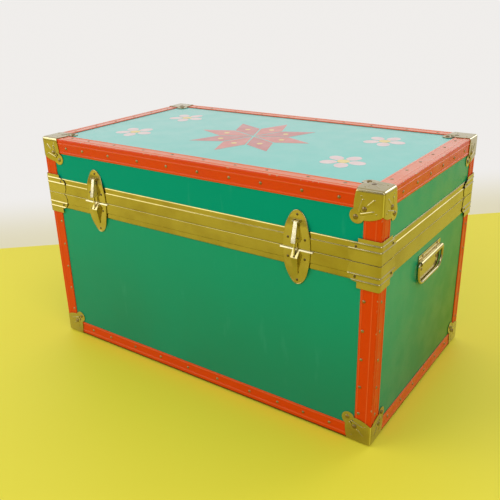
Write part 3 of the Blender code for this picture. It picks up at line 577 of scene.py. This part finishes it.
def make_floor_finish():
    """Yellow paint in soft clouds."""
    finish = Finish("floor")
    finish.colour(finish.mix(finish.noise(*FLOOR_CLOUD), *FLOOR_YELLOW))
    finish.roughness(FLOOR_ROUGHNESS)
    return finish.material


def make_backdrop_finish(wall_way):
    """White that looks evenly lit to the camera and in reflections, with painted yellow bounce light from the
    floor at its foot.
    """
    finish = Finish("backdrop")
    finish.tree.nodes.remove(finish.shader)
    parts = [finish.maths("MULTIPLY", finish.along(axis), part) for axis, part in zip("XY", wall_way)]
    foot = WALL_FOOT.dot(wall_way)
    # Painted bounce light from the floor near the backdrop's foot
    clear = finish.spread(finish.maths("ADD", *parts), foot, foot + FLOOR_BOUNCE_REACH)
    glow = finish.add("Emission", Color=finish.mix(clear, PAINTED_FLOOR_BOUNCE, WALL_WHITE))
    rays = finish.add("LightPath").outputs
    both = finish.add("MixShader", Fac=finish.maths("MAXIMUM", rays["Is Camera Ray"], rays["Is Glossy Ray"]))
    finish.feed(both.inputs[1], finish.add("BsdfDiffuse").outputs["BSDF"])
    finish.feed(both.inputs[2], glow.outputs["Emission"])
    finish.feed(finish.tree.nodes["Material Output"].inputs["Surface"], both.outputs["Shader"])
    return finish.material


def add_piece(name, shape, finish, body):
    """A named piece from a bmesh modelled in place, riding on a body."""
    mesh = bpy.data.meshes.new(name)
    bmesh.ops.recalc_face_normals(shape, faces=shape.faces)
    shape.to_mesh(mesh)
    shape.free()
    mesh.shade_smooth()
    mesh.set_sharp_from_angle(angle=math.radians(SHARP_TURN))
    mesh.materials.append(finish)
    piece = bpy.data.objects.new(name, mesh)
    bpy.context.scene.collection.objects.link(piece)
    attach(piece, body)
    return piece


def round_edges(piece, width, least_angle):
    """Round the edges of a piece that turn by more than some degrees."""
    bevel = piece.modifiers.new("Edge", "BEVEL")
    bevel.width = width
    bevel.segments = ROUND_STEPS
    bevel.limit_method = "ANGLE"
    bevel.angle_limit = math.radians(least_angle)
    piece.modifiers.new("Normals", "WEIGHTED_NORMAL")


def thicken(piece, sheet, edge_round):
    """Back a skin with sheet metal and round its free edges."""
    solid = piece.modifiers.new("Sheet", "SOLIDIFY")
    solid.thickness = sheet
    solid.offset = -1.0
    solid.use_even_offset = True
    round_edges(piece, edge_round, SHEET_TURN)


def dress(nodes, finish, edge_round):
    """Give CAD nodes their finish and slightly rounded edges."""
    for node in nodes:
        piece = frame["nodes"][node]
        piece.data.materials.clear()
        piece.data.materials.append(finish)
        weld = piece.modifiers.new("Weld", "WELD")
        weld.merge_threshold = SOLID_MERGE
        round_edges(piece, edge_round, SOLID_TURN)


def join_loops(shape, loops, closed):
    """Quads between neighbouring loops of vertices."""
    for here, there in zip(loops, loops[1:]):
        last = len(here) if closed else len(here) - 1
        for index in range(last):
            after = (index + 1) % len(here)
            shape.faces.new((here[index], here[after], there[after], there[index]))


def add_solid(shape, loops):
    """A closed skin: quads between closed loops, and a face over each end."""
    join_loops(shape, loops, closed=True)
    shape.faces.new(loops[0])
    shape.faces.new(loops[-1])


def spaced(low, high, count):
    """Evenly spaced numbers from one to another."""
    return [low + (high - low) * step / (count - 1) for step in range(count)]


def round_angles(count):
    """Angles evenly spaced all round."""
    return [2 * math.pi * step / count for step in range(count)]


def smooth_step(value):
    """An eased rise from 0 to 1."""
    value = min(max(value, 0.0), 1.0)
    return value * value * (3 - 2 * value)


def corner_turns(up, level):
    """Each corner's name, and the turn to it of a (+, +, +) corner that is alike with X and Y swapped."""
    swap = Matrix(((0, 1, 0, 0), (1, 0, 0, 0), (0, 0, 1, 0), (0, 0, 0, 1)))
    for place, x_sign, y_sign in CORNERS:
        flip = Matrix.Diagonal((x_sign, y_sign, up, 1.0))
        turn = flip if x_sign * y_sign * up > 0 else flip @ swap
        yield place, Matrix.Translation((x_sign * HALF_LENGTH, y_sign * HALF_DEPTH, level)) @ turn


def cap_rays(end_reach):
    """Half of a corner plate from one edge to its ear, as rays with an angle and a reach each."""
    ear_distance = math.sqrt(2) * (CAP_FACE + ANGLE_LEG + EAR_OFFSET)
    ear_half_angle = math.asin(EAR_RADIUS / ear_distance)
    neck_angle = math.pi / 4 - ear_half_angle
    neck_reach = math.sqrt(ear_distance ** 2 - EAR_RADIUS ** 2) - EAR_NECK
    neck_across = neck_reach * math.sin(neck_angle)
    neck_along = neck_reach * math.cos(neck_angle)
    rays = []
    for step in range(PLATE_RAYS + 1):
        part = (step / PLATE_RAYS) ** RAY_CROWDING
        across = neck_across * part
        along = neck_along - (neck_along - end_reach) * (1 - part) ** 2
        rays.append((math.atan2(across, along), math.hypot(across, along)))
    for step in range(1, EAR_RAYS + 1):
        swing = ear_half_angle * math.cos(math.pi / 2 * step / EAR_RAYS)
        chord = math.sqrt(max(EAR_RADIUS ** 2 - (ear_distance * math.sin(swing)) ** 2, 0.0))
        rays.append((math.pi / 4 - swing, ear_distance * math.cos(swing) + chord))
    return rays


def plate_rays(axis):
    """All the rays of the plate that looks along one axis."""
    first = cap_rays(CAP_REACH[(axis + 2) % 3])
    second = cap_rays(CAP_REACH[(axis + 1) % 3])
    return first + [(math.pi / 2 - angle, reach) for angle, reach in reversed(second[:-1])]


def cap_point(axis, angle, distance, drop):
    """A point of the corner on the plate that looks along one axis, dropped by some depth below its face."""
    across = distance * math.sin(angle)
    along = distance * math.cos(angle)
    point = Vector((CAP_FACE, CAP_FACE, CAP_FACE))
    point[(axis + 1) % 3] -= across
    point[(axis + 2) % 3] -= along
    core = Vector([min(value, CAP_FACE - CAP_ARRIS) for value in point])
    point = core + (point - core).normalized() * (CAP_ARRIS - drop)
    sunk = smooth_step((min(across, along) - CAP_FACE - ANGLE_LEG - EAR_CLEAR) / EAR_RAMP)
    point[axis] -= sunk * (CAP_FACE - EAR_FACE)
    return point


def cap_distances(reach):
    """Distances of the rings of a ray, from the corner point to the rim, with the drop of each."""
    start = INNER_RINGS[-1]
    end = reach - RIM_RINGS[0]
    rings = [(distance, 0.0) for distance in INNER_RINGS]
    rings += [(start + (end - start) * step / MIDDLE_RINGS, 0.0) for step in range(1, MIDDLE_RINGS)]
    for inset in RIM_RINGS:
        rings.append((reach - inset, CAP_RIM_DROP * (1 - inset / RIM_RINGS[0]) ** 2))
    return rings


def corner_shape(turn):
    """Outer skin of a stamped corner, three plates round a case corner."""
    shape = bmesh.new()
    for axis in range(3):
        tip = shape.verts.new(turn @ cap_point(axis, math.pi / 4, 0.0, 0.0))
        rays = []
        for angle, reach in plate_rays(axis):
            places = [cap_point(axis, angle, distance, drop) for distance, drop in cap_distances(reach)]
            rays.append([shape.verts.new(turn @ place) for place in places])
        for here, there in zip(rays, rays[1:]):
            shape.faces.new((tip, there[0], here[0]))
        join_loops(shape, rays, closed=False)
    bmesh.ops.remove_doubles(shape, verts=shape.verts, dist=MERGE)
    return shape


def plate_point(axis, across, along, stand):
    """A point over the plate that looks along one axis, by its distances from the case edges."""
    point = Vector((0, 0, 0))
    point[axis] = stand
    point[(axis + 1) % 3] = -across
    point[(axis + 2) % 3] = -along
    return point


def add_rib(shape, turn, axis, start, end, rise):
    """A pressed rib with round ends on a corner plate, between two places on it."""
    start = Vector(start)
    end = Vector(end)
    along = (end - start).normalized()
    side = Vector((-along.y, along.x))
    length = (end - start).length
    half = RIB_WIDTH / 2
    stations = [-half * math.cos(angle) for angle in spaced(0.0, math.pi / 2, RIB_END_STEPS + 1)]
    stations += [length - station for station in reversed(stations)]
    loops = []
    for station in stations:
        over = max(-station, station - length, 0.0)
        width = math.sqrt(max(half ** 2 - over ** 2, (half / RIB_TIP_PART) ** 2))
        loop = []
        for angle in spaced(0.0, math.pi, RIB_ROUND_STEPS + 1):
            place = start + along * station + side * width * math.cos(angle)
            lift = rise * width / half * math.sin(angle)
            loop.append(shape.verts.new(turn @ plate_point(axis, *place, CAP_FACE - RIVET_ROOT + lift)))
        loops.append(loop)
    add_solid(shape, loops)


def make_corners(finish):
    """Stamped corners with their ribs, in place of the plain ones."""
    for name, up, level in HALVES:
        for place, turn in corner_turns(up, level):
            shape = corner_shape(turn)
            piece = add_piece(f"{name}_stamped_corner_{place}", shape, finish, name)
            thicken(piece, CAP_SHEET, SHEET_ROUND)
            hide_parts(f"{name}_corner_{place}")
            ribs = bmesh.new()
            for axis in range(3):
                for start, end in RIBS:
                    add_rib(ribs, turn, axis, start, end, FLAT_RIB_RISE if axis == Z_AXIS else RIB_RISE)
            add_piece(f"{name}_corner_ribs_{place}", ribs, finish, name)


def band_profile():
    """Outer face of a band as (stand-off, rise) from far edge to seam: low margin, step, raised face."""
    return [
        (BAND_BACK, BAND_WIDTH),
        (BAND_MARGIN_FACE - BAND_EDGE, BAND_WIDTH),
        (BAND_MARGIN_FACE, BAND_WIDTH - BAND_EDGE_RUN),
        (BAND_MARGIN_FACE, RIDGE_FROM_SEAM + BAND_STEP_RUN / 2),
        (BAND_FACE, RIDGE_FROM_SEAM - BAND_STEP_RUN / 2),
        (BAND_FACE, SEAM_GAP / 2 + BAND_SEAM_RUN),
        (BAND_FACE - BAND_SEAM_EDGE, SEAM_GAP / 2),
    ]


def edge_turn(out):
    """A stand-off carried round an upright case edge: an arc outside the edge, a mitre inside it."""
    if out < 0:
        return [(out, out)] * (SLEEVE_TURN_STEPS + 1)
    angles = spaced(0.0, math.pi / 2, SLEEVE_TURN_STEPS + 1)
    return [(out * math.cos(angle), out * math.sin(angle)) for angle in angles]


def add_band(name, body, profile, finish):
    """A profile carried round the case in place of a plain band."""
    shape = bmesh.new()
    loops = []
    for x_sign, y_sign in ((1, 1), (-1, 1), (-1, -1), (1, -1)):
        corner = [[] for _ in range(SLEEVE_TURN_STEPS + 1)]
        for out, rise in profile:
            for loop, (out_x, out_y) in zip(corner, edge_turn(out)):
                place = (x_sign * (HALF_LENGTH + out_x), y_sign * (HALF_DEPTH + out_y), SEAM_Z + rise)
                loop.append(shape.verts.new(place))
        loops += corner if x_sign * y_sign > 0 else reversed(corner)
    join_loops(shape, loops + loops[:1], closed=True)
    bmesh.ops.remove_doubles(shape, verts=shape.verts, dist=MERGE)
    piece = add_piece(name, shape, finish, body)
    round_edges(piece, BAND_ROUND, PROFILE_TURN)
    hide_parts(f"{body}_rim_band")


def make_bands(finish):
    """The lid's band with its flange under the walls, and the chest's with its tongue inside the shut lid."""
    rim_rise = SEAM_GAP / 2 + BAND_FLANGE
    flange = [(-BOARD, SEAM_GAP / 2), (-BOARD, rim_rise), (BAND_BACK, rim_rise)]
    add_band("lid_formed_band", "lid", band_profile() + flange, finish)
    tongue_out = -BOARD - TONGUE_GAP
    tongue_in = tongue_out - TONGUE_SHEET
    tongue = [
        (tongue_out, -SEAM_GAP / 2),
        (tongue_out, TONGUE_RISE),
        (tongue_in, TONGUE_RISE),
        (tongue_in, -rim_rise),
        (BAND_BACK, -rim_rise),
    ]
    add_band("chest_formed_band", "chest", [(out, -rise) for out, rise in band_profile()] + tongue, finish)


def sleeve_leg(rise):
    """Length of a sleeve's leg: a round ear over the band, then the straight tab."""
    ear_half = (BAND_WIDTH + EDGE_LIP) / 2
    from_middle = (rise - ear_half) / ear_half
    bulge = math.sqrt(max(0.0, 1.0 - from_middle ** 2))
    if rise < ear_half:
        bulge = bulge ** SLEEVE_EAR_FULLNESS
    return SLEEVE_TAB_LEG + (SLEEVE_EAR_LEG - SLEEVE_TAB_LEG) * bulge


def sleeve_stand(rise):
    """Stand-off of the sleeve's face, with a round ridge over the band's step and over its far edge."""
    stand = SLEEVE_FACE
    for middle in (RIDGE_FROM_SEAM, BAND_WIDTH - EDGE_LIP / 2):
        away = abs(rise - middle) / (SLEEVE_RIDGE_WIDTH / 2)
        if away < 1.0:
            stand += SLEEVE_RIDGE_RISE * (0.5 + 0.5 * math.cos(math.pi * away))
    return stand


def sleeve_shape(turn, tab):
    """Outer skin of a corner sleeve, bent round an upright case edge."""
    shape = bmesh.new()
    rows = []
    for rise in spaced(SEAM_GAP, BAND_WIDTH + tab, SLEEVE_ROWS + 1):
        stand = sleeve_stand(rise)
        leg = sleeve_leg(rise)
        places = [(stand, -leg * part) for part in SLEEVE_LEG_STATIONS]
        places += edge_turn(stand)
        places += [(-leg * part, stand) for part in reversed(SLEEVE_LEG_STATIONS)]
        rows.append([shape.verts.new(turn @ Vector((*place, rise))) for place in places])
    join_loops(shape, rows, closed=False)
    return shape


def make_sleeves(finish):
    """Corner sleeves in place of the plain ones."""
    for name, up, _ in HALVES:
        for place, turn in corner_turns(up, SEAM_Z):
            shape = sleeve_shape(turn, SLEEVE_TAB[name])
            piece = add_piece(f"{name}_formed_sleeve_{place}", shape, finish, name)
            thicken(piece, SLEEVE_SHEET, SLEEVE_ROUND)
            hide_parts(f"{name}_sleeve_{place}")


def round_corner(before, corner, after, radius, steps):
    """Points of the arc that rounds one corner of a path in a plane."""
    to_before = (before - corner).normalized()
    to_after = (after - corner).normalized()
    half_angle = to_before.angle(to_after) / 2
    middle = corner + (to_before + to_after).normalized() * radius / math.sin(half_angle)
    start = corner + to_before * radius / math.tan(half_angle) - middle
    end = corner + to_after * radius / math.tan(half_angle) - middle
    return [middle + radius * start.slerp(end, step / steps).normalized() for step in range(steps + 1)]


def add_rod(shape, path, out, radius):
    """A round rod with flat ends along a path, which lies about square to one direction."""
    loops = []
    for index, place in enumerate(path):
        before = path[max(index - 1, 0)]
        after = path[min(index + 1, len(path) - 1)]
        across = (after - before).cross(out).normalized()
        loop = []
        for angle in round_angles(ROD_SIDES):
            around = (math.cos(angle) * out + math.sin(angle) * across) * radius
            loop.append(shape.verts.new(place + around))
        loops.append(loop)
    add_solid(shape, loops)


def make_bails(finish):
    """Bent rods of the end handles, with finer bends than the plain ones."""
    one_side = [(BAIL_STUB_END, 0.0), (BAIL_LEG, 0.0), (BAIL_LEG, -BAIL_DROP)]
    both_sides = one_side + [(-y, z) for y, z in reversed(one_side)]
    corners = [Vector((0, y, z)) for y, z in both_sides]
    path = [corners[0]]
    for index, radius in ((1, BAIL_BEND), (2, BAIL_GRIP_BEND), (3, BAIL_GRIP_BEND), (4, BAIL_BEND)):
        path += round_corner(corners[index - 1], corners[index], corners[index + 1], radius, BAIL_BEND_STEPS)
    path.append(corners[-1])
    for side, sign in SIDES:
        axis = Vector((sign * BAIL_X, 0, HANDLE_Z))
        shape = bmesh.new()
        add_rod(shape, [axis + place for place in path], Vector((1, 0, 0)), BAIL_ROD / 2)
        piece = add_piece(f"handle_rod_{side}", shape, finish, f"handle_bail_{side}")
        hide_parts(f"handle_bail_{side}")


def latch_stand(rise):
    """Stand-off of a latch plate: flat near the seam, then sloping to the boards at its tip."""
    part = min(max((rise - LATCH_FLAT_RISE) / LATCH_SLOPE_RUN, 0.0), 1.0)
    return LATCH_FACE + (LATCH_TIP_FACE - LATCH_FACE) * part


def make_latch_rims(finish):
    """Rolled edge round the outline of each latch plate and catch."""
    half_length = LATCH_LENGTH / 2 - RIM_INSET
    half_width = LATCH_WIDTH / 2 - RIM_INSET
    start = math.asin(RIM_FROM_SEAM / half_length)
    for name, up, _ in HALVES:
        for side, sign in SIDES:
            path = []
            for step in range(RIM_STEPS + 1):
                angle = start + (math.pi - 2 * start) * step / RIM_STEPS
                rise = half_length * math.sin(angle)
                across = sign * LATCH_X + half_width * math.cos(angle)
                path.append(Vector((across, RIM_DEPTH - HALF_DEPTH - latch_stand(rise), SEAM_Z + up * rise)))
            shape = bmesh.new()
            add_rod(shape, path, Vector((0, -1, 0)), RIM_RADIUS)
            add_piece(f"{name}_latch_rim_{side}", shape, finish, name)


def add_dome(shape, place, out, size):
    """A domed rivet head standing on a face."""
    radius, height = size
    out = Vector(out)
    side = out.orthogonal().normalized()
    lift = out.cross(side)
    profile = [(radius, -RIVET_ROOT)]
    for step in range(RIVET_STEPS):
        angle = math.pi / 2 * step / RIVET_STEPS
        profile.append((radius * math.cos(angle), height * math.sin(angle)))
    loops = []
    for ring, rise in profile:
        loop = []
        for angle in round_angles(RIVET_SIDES):
            around = math.cos(angle) * side + math.sin(angle) * lift
            loop.append(shape.verts.new(Vector(place) + ring * around + rise * out))
        loops.append(loop)
    join_loops(shape, loops, closed=True)
    shape.faces.new(loops[0])
    crown = shape.verts.new(Vector(place) + height * out)
    for index in range(RIVET_SIDES):
        shape.faces.new((loops[-1][index], loops[-1][(index + 1) % RIVET_SIDES], crown))


def upright_rivets():
    """Rivets in the upright angles of the chest."""
    for _, x_sign, y_sign in CORNERS:
        for z in spaced(UPRIGHT_LOW, UPRIGHT_HIGH, UPRIGHT_COUNT):
            x = x_sign * (HALF_LENGTH - UPRIGHT_FROM_EDGE["front"])
            yield (x, y_sign * (HALF_DEPTH + ANGLE_FACE), z), (0, y_sign, 0), ANGLE_RIVET
            y = y_sign * (HALF_DEPTH - UPRIGHT_FROM_EDGE["end"])
            yield (x_sign * (HALF_LENGTH + ANGLE_FACE), y, z), (x_sign, 0, 0), ANGLE_RIVET


def angle_rivets(name, up, level):
    """Rivets in the angles of the chest or the lid."""
    flat = (0, 0, up)
    row_z = level - up * ROW_FROM_EDGE
    flat_z = level + up * ANGLE_FACE
    for y_sign in (-1, 1):
        for x in LONG_ROW[name]:
            yield (x, y_sign * (HALF_DEPTH + ANGLE_FACE), row_z), (0, y_sign, 0), ANGLE_RIVET
            yield (x, y_sign * (HALF_DEPTH - FLAT_ROW_FROM_EDGE), flat_z), flat, FLAT_ANGLE_RIVET
    reach, count = SHORT_ROW
    for x_sign in (-1, 1):
        for y in spaced(-reach, reach, count):
            yield (x_sign * (HALF_LENGTH + ANGLE_FACE), y, row_z), (x_sign, 0, 0), ANGLE_RIVET
            yield (x_sign * (HALF_LENGTH - FLAT_ROW_FROM_EDGE), y, flat_z), flat, FLAT_ANGLE_RIVET
    if name == "chest":
        yield from upright_rivets()


def corner_heads(up, level):
    """Rivets in the ear and the middle of every corner plate, and the nails near its edges."""
    rivets = []
    nails = []
    for _, turn in corner_turns(up, level):
        for axis in range(3):
            out = turn.to_3x3() @ plate_point(axis, 0, 0, 1.0)
            on_ear = turn @ plate_point(axis, EAR_RIVET_AT, EAR_RIVET_AT, EAR_FACE)
            rivets.append((on_ear, out, CORNER_RIVET))
            on_plate = turn @ plate_point(axis, PLATE_RIVET_AT, PLATE_RIVET_AT, CAP_FACE)
            rivets.append((on_plate, out, FLAT_CORNER_RIVET if axis == Z_AXIS else CORNER_RIVET))
            for across, along in (NAIL_AT, NAIL_AT[::-1]):
                nails.append((turn @ plate_point(axis, across, along, CAP_FACE), out, NAIL))
    return rivets, nails


def sleeve_rivets(up):
    """A rivet in each leg of the sleeves."""
    on_x = Vector((SLEEVE_FACE, -SLEEVE_RIVET_FROM_EDGE, SLEEVE_RIVET_RISE))
    on_y = Vector((-SLEEVE_RIVET_FROM_EDGE, SLEEVE_FACE, SLEEVE_RIVET_RISE))
    for _, turn in corner_turns(up, SEAM_Z):
        for spot, out in ((on_x, Vector((1, 0, 0))), (on_y, Vector((0, 1, 0)))):
            yield turn @ spot, turn.to_3x3() @ out, SLEEVE_RIVET


def latch_rivets(up):
    """Rivets at the tip and both sides of each latch plate or catch."""
    across, rise = LATCH_SIDE
    for _, sign in SIDES:
        middle = sign * LATCH_X
        for x, stand, z in ((middle, LATCH_TIP_FACE, LATCH_TIP_RISE), (middle - across, LATCH_FACE, rise),
                            (middle + across, LATCH_FACE, rise)):
            yield (x, -HALF_DEPTH - stand, SEAM_Z + up * z), (0, -1, 0), LATCH_RIVET


def hinge_rivets(up):
    """Rivets in the hinge leaves at the back."""
    for _, sign in SIDES:
        for along, rise in HINGE_RIVETS:
            place = (sign * HINGE_X + along, HALF_DEPTH + HINGE_FACE, SEAM_Z + up * rise)
            yield place, (0, 1, 0), HINGE_RIVET


def handle_rivets():
    """Rivets in the handle plates on the ends."""
    for _, x_sign in SIDES:
        for y, z in HANDLE_RIVETS:
            for y_sign in (-1, 1):
                place = (x_sign * (HALF_LENGTH + HANDLE_FACE), y_sign * y, HANDLE_Z + z)
                yield place, (x_sign, 0, 0), HANDLE_RIVET


def add_rivets(name, body, heads, finish):
    """One piece with all the heads of a kind, each a place, a direction and a size."""
    shape = bmesh.new()
    for place, out, size in heads:
        add_dome(shape, place, out, size)
    add_piece(name, shape, finish, body)


def make_rivets(brass):
    """Rivet heads, one piece for each kind on each body."""
    dull = make_metal("scene_dull_rivet", DULL_RIVET)
    dark = make_metal("scene_dark_rivet", DARK_RIVET)
    black = make_metal("scene_black_rivet", BLACK_RIVET)
    for name, up, level in HALVES:
        rivets, nails = corner_heads(up, level)
        add_rivets(f"{name}_angle_rivets", name, angle_rivets(name, up, level), dull)
        add_rivets(f"{name}_corner_rivets", name, rivets, dark)
        add_rivets(f"{name}_corner_nails", name, nails, brass)
        add_rivets(f"{name}_sleeve_rivets", name, sleeve_rivets(up), black)
        add_rivets(f"{name}_latch_rivets", name, latch_rivets(up), black)
        add_rivets(f"{name}_hinge_rivets", name, hinge_rivets(up), dull)
    add_rivets("handle_rivets", "chest", handle_rivets(), dull)


def make_catch_lips(finish):
    """Lip bent out along the top edge of each latch catch, with a sloping face."""
    for side, sign in SIDES:
        shape = bmesh.new()
        loops = []
        for end in (-LIP_LENGTH / 2, LIP_LENGTH / 2):
            x = sign * LATCH_X + end
            places = [(x, -HALF_DEPTH - LATCH_FACE - stand, SEAM_Z - drop) for stand, drop in LIP_PROFILE]
            loops.append([shape.verts.new(place) for place in places])
        add_solid(shape, loops)
        piece = add_piece(f"latch_catch_lip_{side}", shape, finish, "chest")
        round_edges(piece, SHEET_ROUND, PROFILE_TURN)


def add_print(shape, outline, level):
    """A flat patch of ink on the lid's top."""
    loops = []
    for z in (level, level + INK):
        loops.append([shape.verts.new((x, y, z)) for x, y in outline])
    add_solid(shape, loops)


def ellipse(middle, half_length, half_width, angle):
    """Outline of an ellipse that points away along an angle."""
    points = []
    for turn in round_angles(ROUND_SIDES):
        point = Vector((half_length * math.cos(turn), half_width * math.sin(turn)))
        points.append(Vector(middle) + Matrix.Rotation(angle, 2) @ point)
    return points


def diamond(angle):
    """One of the star's diamonds, pointing away along an angle and drawn a little small."""
    half = math.pi / STAR_POINTS
    tip = Vector((math.cos(angle), math.sin(angle))) * 2 * STAR_SIDE * math.cos(half)
    left = Vector((math.cos(angle + half), math.sin(angle + half))) * STAR_SIDE
    right = Vector((math.cos(angle - half), math.sin(angle - half))) * STAR_SIDE
    middle = tip / 2
    return [middle + (point - middle) * STAR_SHRINK for point in (Vector((0, 0)), right, tip, left)], middle


def make_lid_design():
    """A quilt star with flowers round it, printed on the lid."""
    level = CASE_TOP + PRINT_LIFT
    prints = {name: bmesh.new() for name in INKS}
    for point, angle in enumerate(round_angles(STAR_POINTS)):
        outline, middle = diamond(angle)
        add_print(prints["star_deep_red" if point % 2 else "star_red"], outline, level)
        add_print(prints["dots"], ellipse(middle, DOT_RADIUS, DOT_RADIUS, 0.0), level + INK)
    for place in FLOWER_PLACES:
        for angle in round_angles(FLOWER_PETALS):
            away = Vector((math.cos(angle), math.sin(angle))) * PETAL_AT
            outline = ellipse(Vector(place) + away, PETAL_LENGTH / 2, PETAL_WIDTH / 2, angle)
            add_print(prints["petals"], outline, level)
        add_print(prints["dots"], ellipse(place, FLOWER_EYE, FLOWER_EYE, 0.0), level + INK)
    for name, shape in prints.items():
        add_piece(f"lid_print_{name}", shape, make_ink(*INKS[name]), "lid")


def lining_box(shape, floor_z, rim_z):
    """A thin open box: four walls and a floor inside the boards, open at the rim."""
    up = 1 if rim_z > floor_z else -1
    skins = []
    for depth in (LINING_GAP, LINING_GAP + LINING):
        half_x = HALF_LENGTH - BOARD - depth
        half_y = HALF_DEPTH - BOARD - depth
        loops = []
        for z in (floor_z + up * depth, rim_z):
            places = ((half_x, half_y, z), (-half_x, half_y, z), (-half_x, -half_y, z), (half_x, -half_y, z))
            loops.append([shape.verts.new(place) for place in places])
        join_loops(shape, loops, closed=True)
        shape.faces.new(loops[0])
        skins.append(loops[1])
    join_loops(shape, skins, closed=True)


def make_linings():
    """Paper lining inside the chest and the lid, clear of the tongue of the rim band."""
    paper = make_paper()
    for name, floor_z, rim_z in (("chest", CASE_BOTTOM + BOARD, CHEST_LINING_TOP),
                                 ("lid", CASE_TOP - BOARD, LID_LINING_FOOT)):
        shape = bmesh.new()
        lining_box(shape, floor_z, rim_z)
        add_piece(f"{name}_lining", shape, paper, name)


def nodes_like(*words):
    """CAD nodes whose names hold one of some words."""
    return [name for name in frame["nodes"] if any(word in name for word in words)]


def add_ground(name, corners, finish):
    """A flat stretch of the floor or the backdrop."""
    mesh = bpy.data.meshes.new(name)
    mesh.from_pydata([(point.x, point.y, 0.0) for point in corners], [], [range(len(corners))])
    mesh.materials.append(finish)
    ground = bpy.data.objects.new(name, mesh)
    bpy.context.scene.collection.objects.link(ground)


def make_world(wall_way):
    """Even light, whiter from the side of the wall than from the rest of the room."""
    world = bpy.data.worlds.new("studio")
    bpy.context.scene.world = world
    world.use_nodes = True
    nodes = Nodes(world.node_tree)
    toward = nodes.add("VectorMath")
    toward.operation = "DOT_PRODUCT"
    toward.inputs[1].default_value = (*wall_way, 0.0)
    nodes.feed(toward.inputs[0], nodes.add("TexCoord").outputs["Generated"])
    white = nodes.spread(toward.outputs["Value"], *ROOM_TURN)
    nodes.feed(nodes.tree.nodes["Background"].inputs["Color"], nodes.mix(white, ROOM_GREY, WALL_WHITE))


def add_lamp(name, place, target, size, power):
    """A soft panel lamp that looks at a target."""
    lamp = bpy.data.lights.new(name, "AREA")
    lamp.shape = "RECTANGLE"
    lamp.size, lamp.size_y = size
    lamp.energy = power
    holder = bpy.data.objects.new(name, lamp)
    holder.location = place
    holder.rotation_mode = "QUATERNION"
    holder.rotation_quaternion = (Vector(target) - Vector(place)).to_track_quat("-Z", "Y")
    bpy.context.scene.collection.objects.link(holder)


def make_stage():
    """Floor, backdrop and light."""
    along = (WALL_END - WALL_FOOT).normalized()
    wall_way = Vector((-along.y, along.x))
    ends = (WALL_FOOT - along * FLOOR_REACH, WALL_FOOT + along * FLOOR_REACH)
    for name, way, finish in (("floor", -wall_way, make_floor_finish()),
                              ("backdrop", wall_way, make_backdrop_finish(wall_way))):
        add_ground(name, (*ends, ends[1] + way * FLOOR_REACH, ends[0] + way * FLOOR_REACH), finish)
    make_world(wall_way)
    for lamp in LAMPS:
        add_lamp(*lamp)


def make_camera():
    """A camera that looks down on the front and the right end."""
    data = bpy.data.cameras.new("camera")
    data.lens = LENS
    data.sensor_width = SENSOR
    camera = bpy.data.objects.new("camera", data)
    turn = Matrix.Rotation(CAMERA_YAW, 4, "Z") @ Matrix.Rotation(math.pi / 2 + CAMERA_PITCH, 4, "X")
    turn = turn @ Matrix.Rotation(-CAMERA_ROLL, 4, "Z")
    camera.matrix_world = Matrix.Translation(CAMERA_PLACE) @ turn
    bpy.context.scene.collection.objects.link(camera)
    bpy.context.scene.camera = camera
    bpy.context.scene.view_settings.view_transform = "Standard"


def dress_boards():
    """Paint on the boards: a painted reflection on the lid's top, duller on its walls, painted light on the
    ends.
    """
    green = make_green("scene_green_paint", GREEN)
    # The lid's top takes the paler green, a painted reflection
    top_reflection = make_green("scene_top_reflection_green", TOP_REFLECTION_GREEN)
    lid_green = make_green("scene_lid_green", LID_GREEN, specular=LID_WALL_SPECULAR)
    # The end boards take the paler green copy as painted light, with painted yellow light mixed in
    lit_end_green = make_green("scene_lit_end_green", LIT_END_GREEN, specular=END_SPECULAR, yellow_lit=True)
    dress(["chest_front", "chest_back", "chest_bottom"], green, BOARD_ROUND)
    dress(["lid_front", "lid_back"], lid_green, BOARD_ROUND)
    dress(nodes_like("_end"), lit_end_green, BOARD_ROUND)
    dress(["lid_top"], top_reflection, BOARD_ROUND)


def dress_angles():
    """Enamel on the angles, shinier on those along the ends."""
    end_angles = nodes_like("_top_left", "_top_right", "_bottom_left", "_bottom_right")
    others = [node for node in nodes_like("_angle_") if node not in end_angles]
    dress(end_angles, make_orange("scene_end_orange", END_ENAMEL_SPECULAR), SHEET_ROUND)
    dress(others, make_orange("scene_orange_paint", PAINT_SPECULAR), SHEET_ROUND)


def dress_fittings(brass, bright):
    """Plating on the latches, the handle plates and the hinges."""
    plates = nodes_like("latch_plate", "latch_catch", "handle_plate", "hinge_chest", "hinge_lid")
    dress(plates, brass, FITTING_ROUND)
    # The levers take the paler brass copy as a painted highlight
    dress(nodes_like("latch_lever"), make_metal("scene_highlight_lever_brass", HIGHLIGHT_LEVER_BRASS), FITTING_ROUND)
    dress(nodes_like("hinge_pin"), bright, PIN_ROUND)


def main():
    brass = make_metal("scene_brass_plate", BRASS)
    bright = make_metal("scene_bright_rod", BRIGHT_ROD)
    dress_boards()
    dress_angles()
    dress_fittings(brass, bright)
    # The bands take the darker brass copy as painted shade
    make_bands(make_metal("scene_shaded_band_brass", SHADED_BAND_BRASS))
    make_corners(make_metal("scene_fold_highlight_brass", BRASS, highlighted=True))
    make_sleeves(brass)
    make_bails(bright)
    make_latch_rims(brass)
    # The catch lips take the paler rod metal, as a painted highlight along them
    make_catch_lips(bright)
    make_rivets(brass)
    make_lid_design()
    make_linings()
    make_stage()
    make_camera()


main()
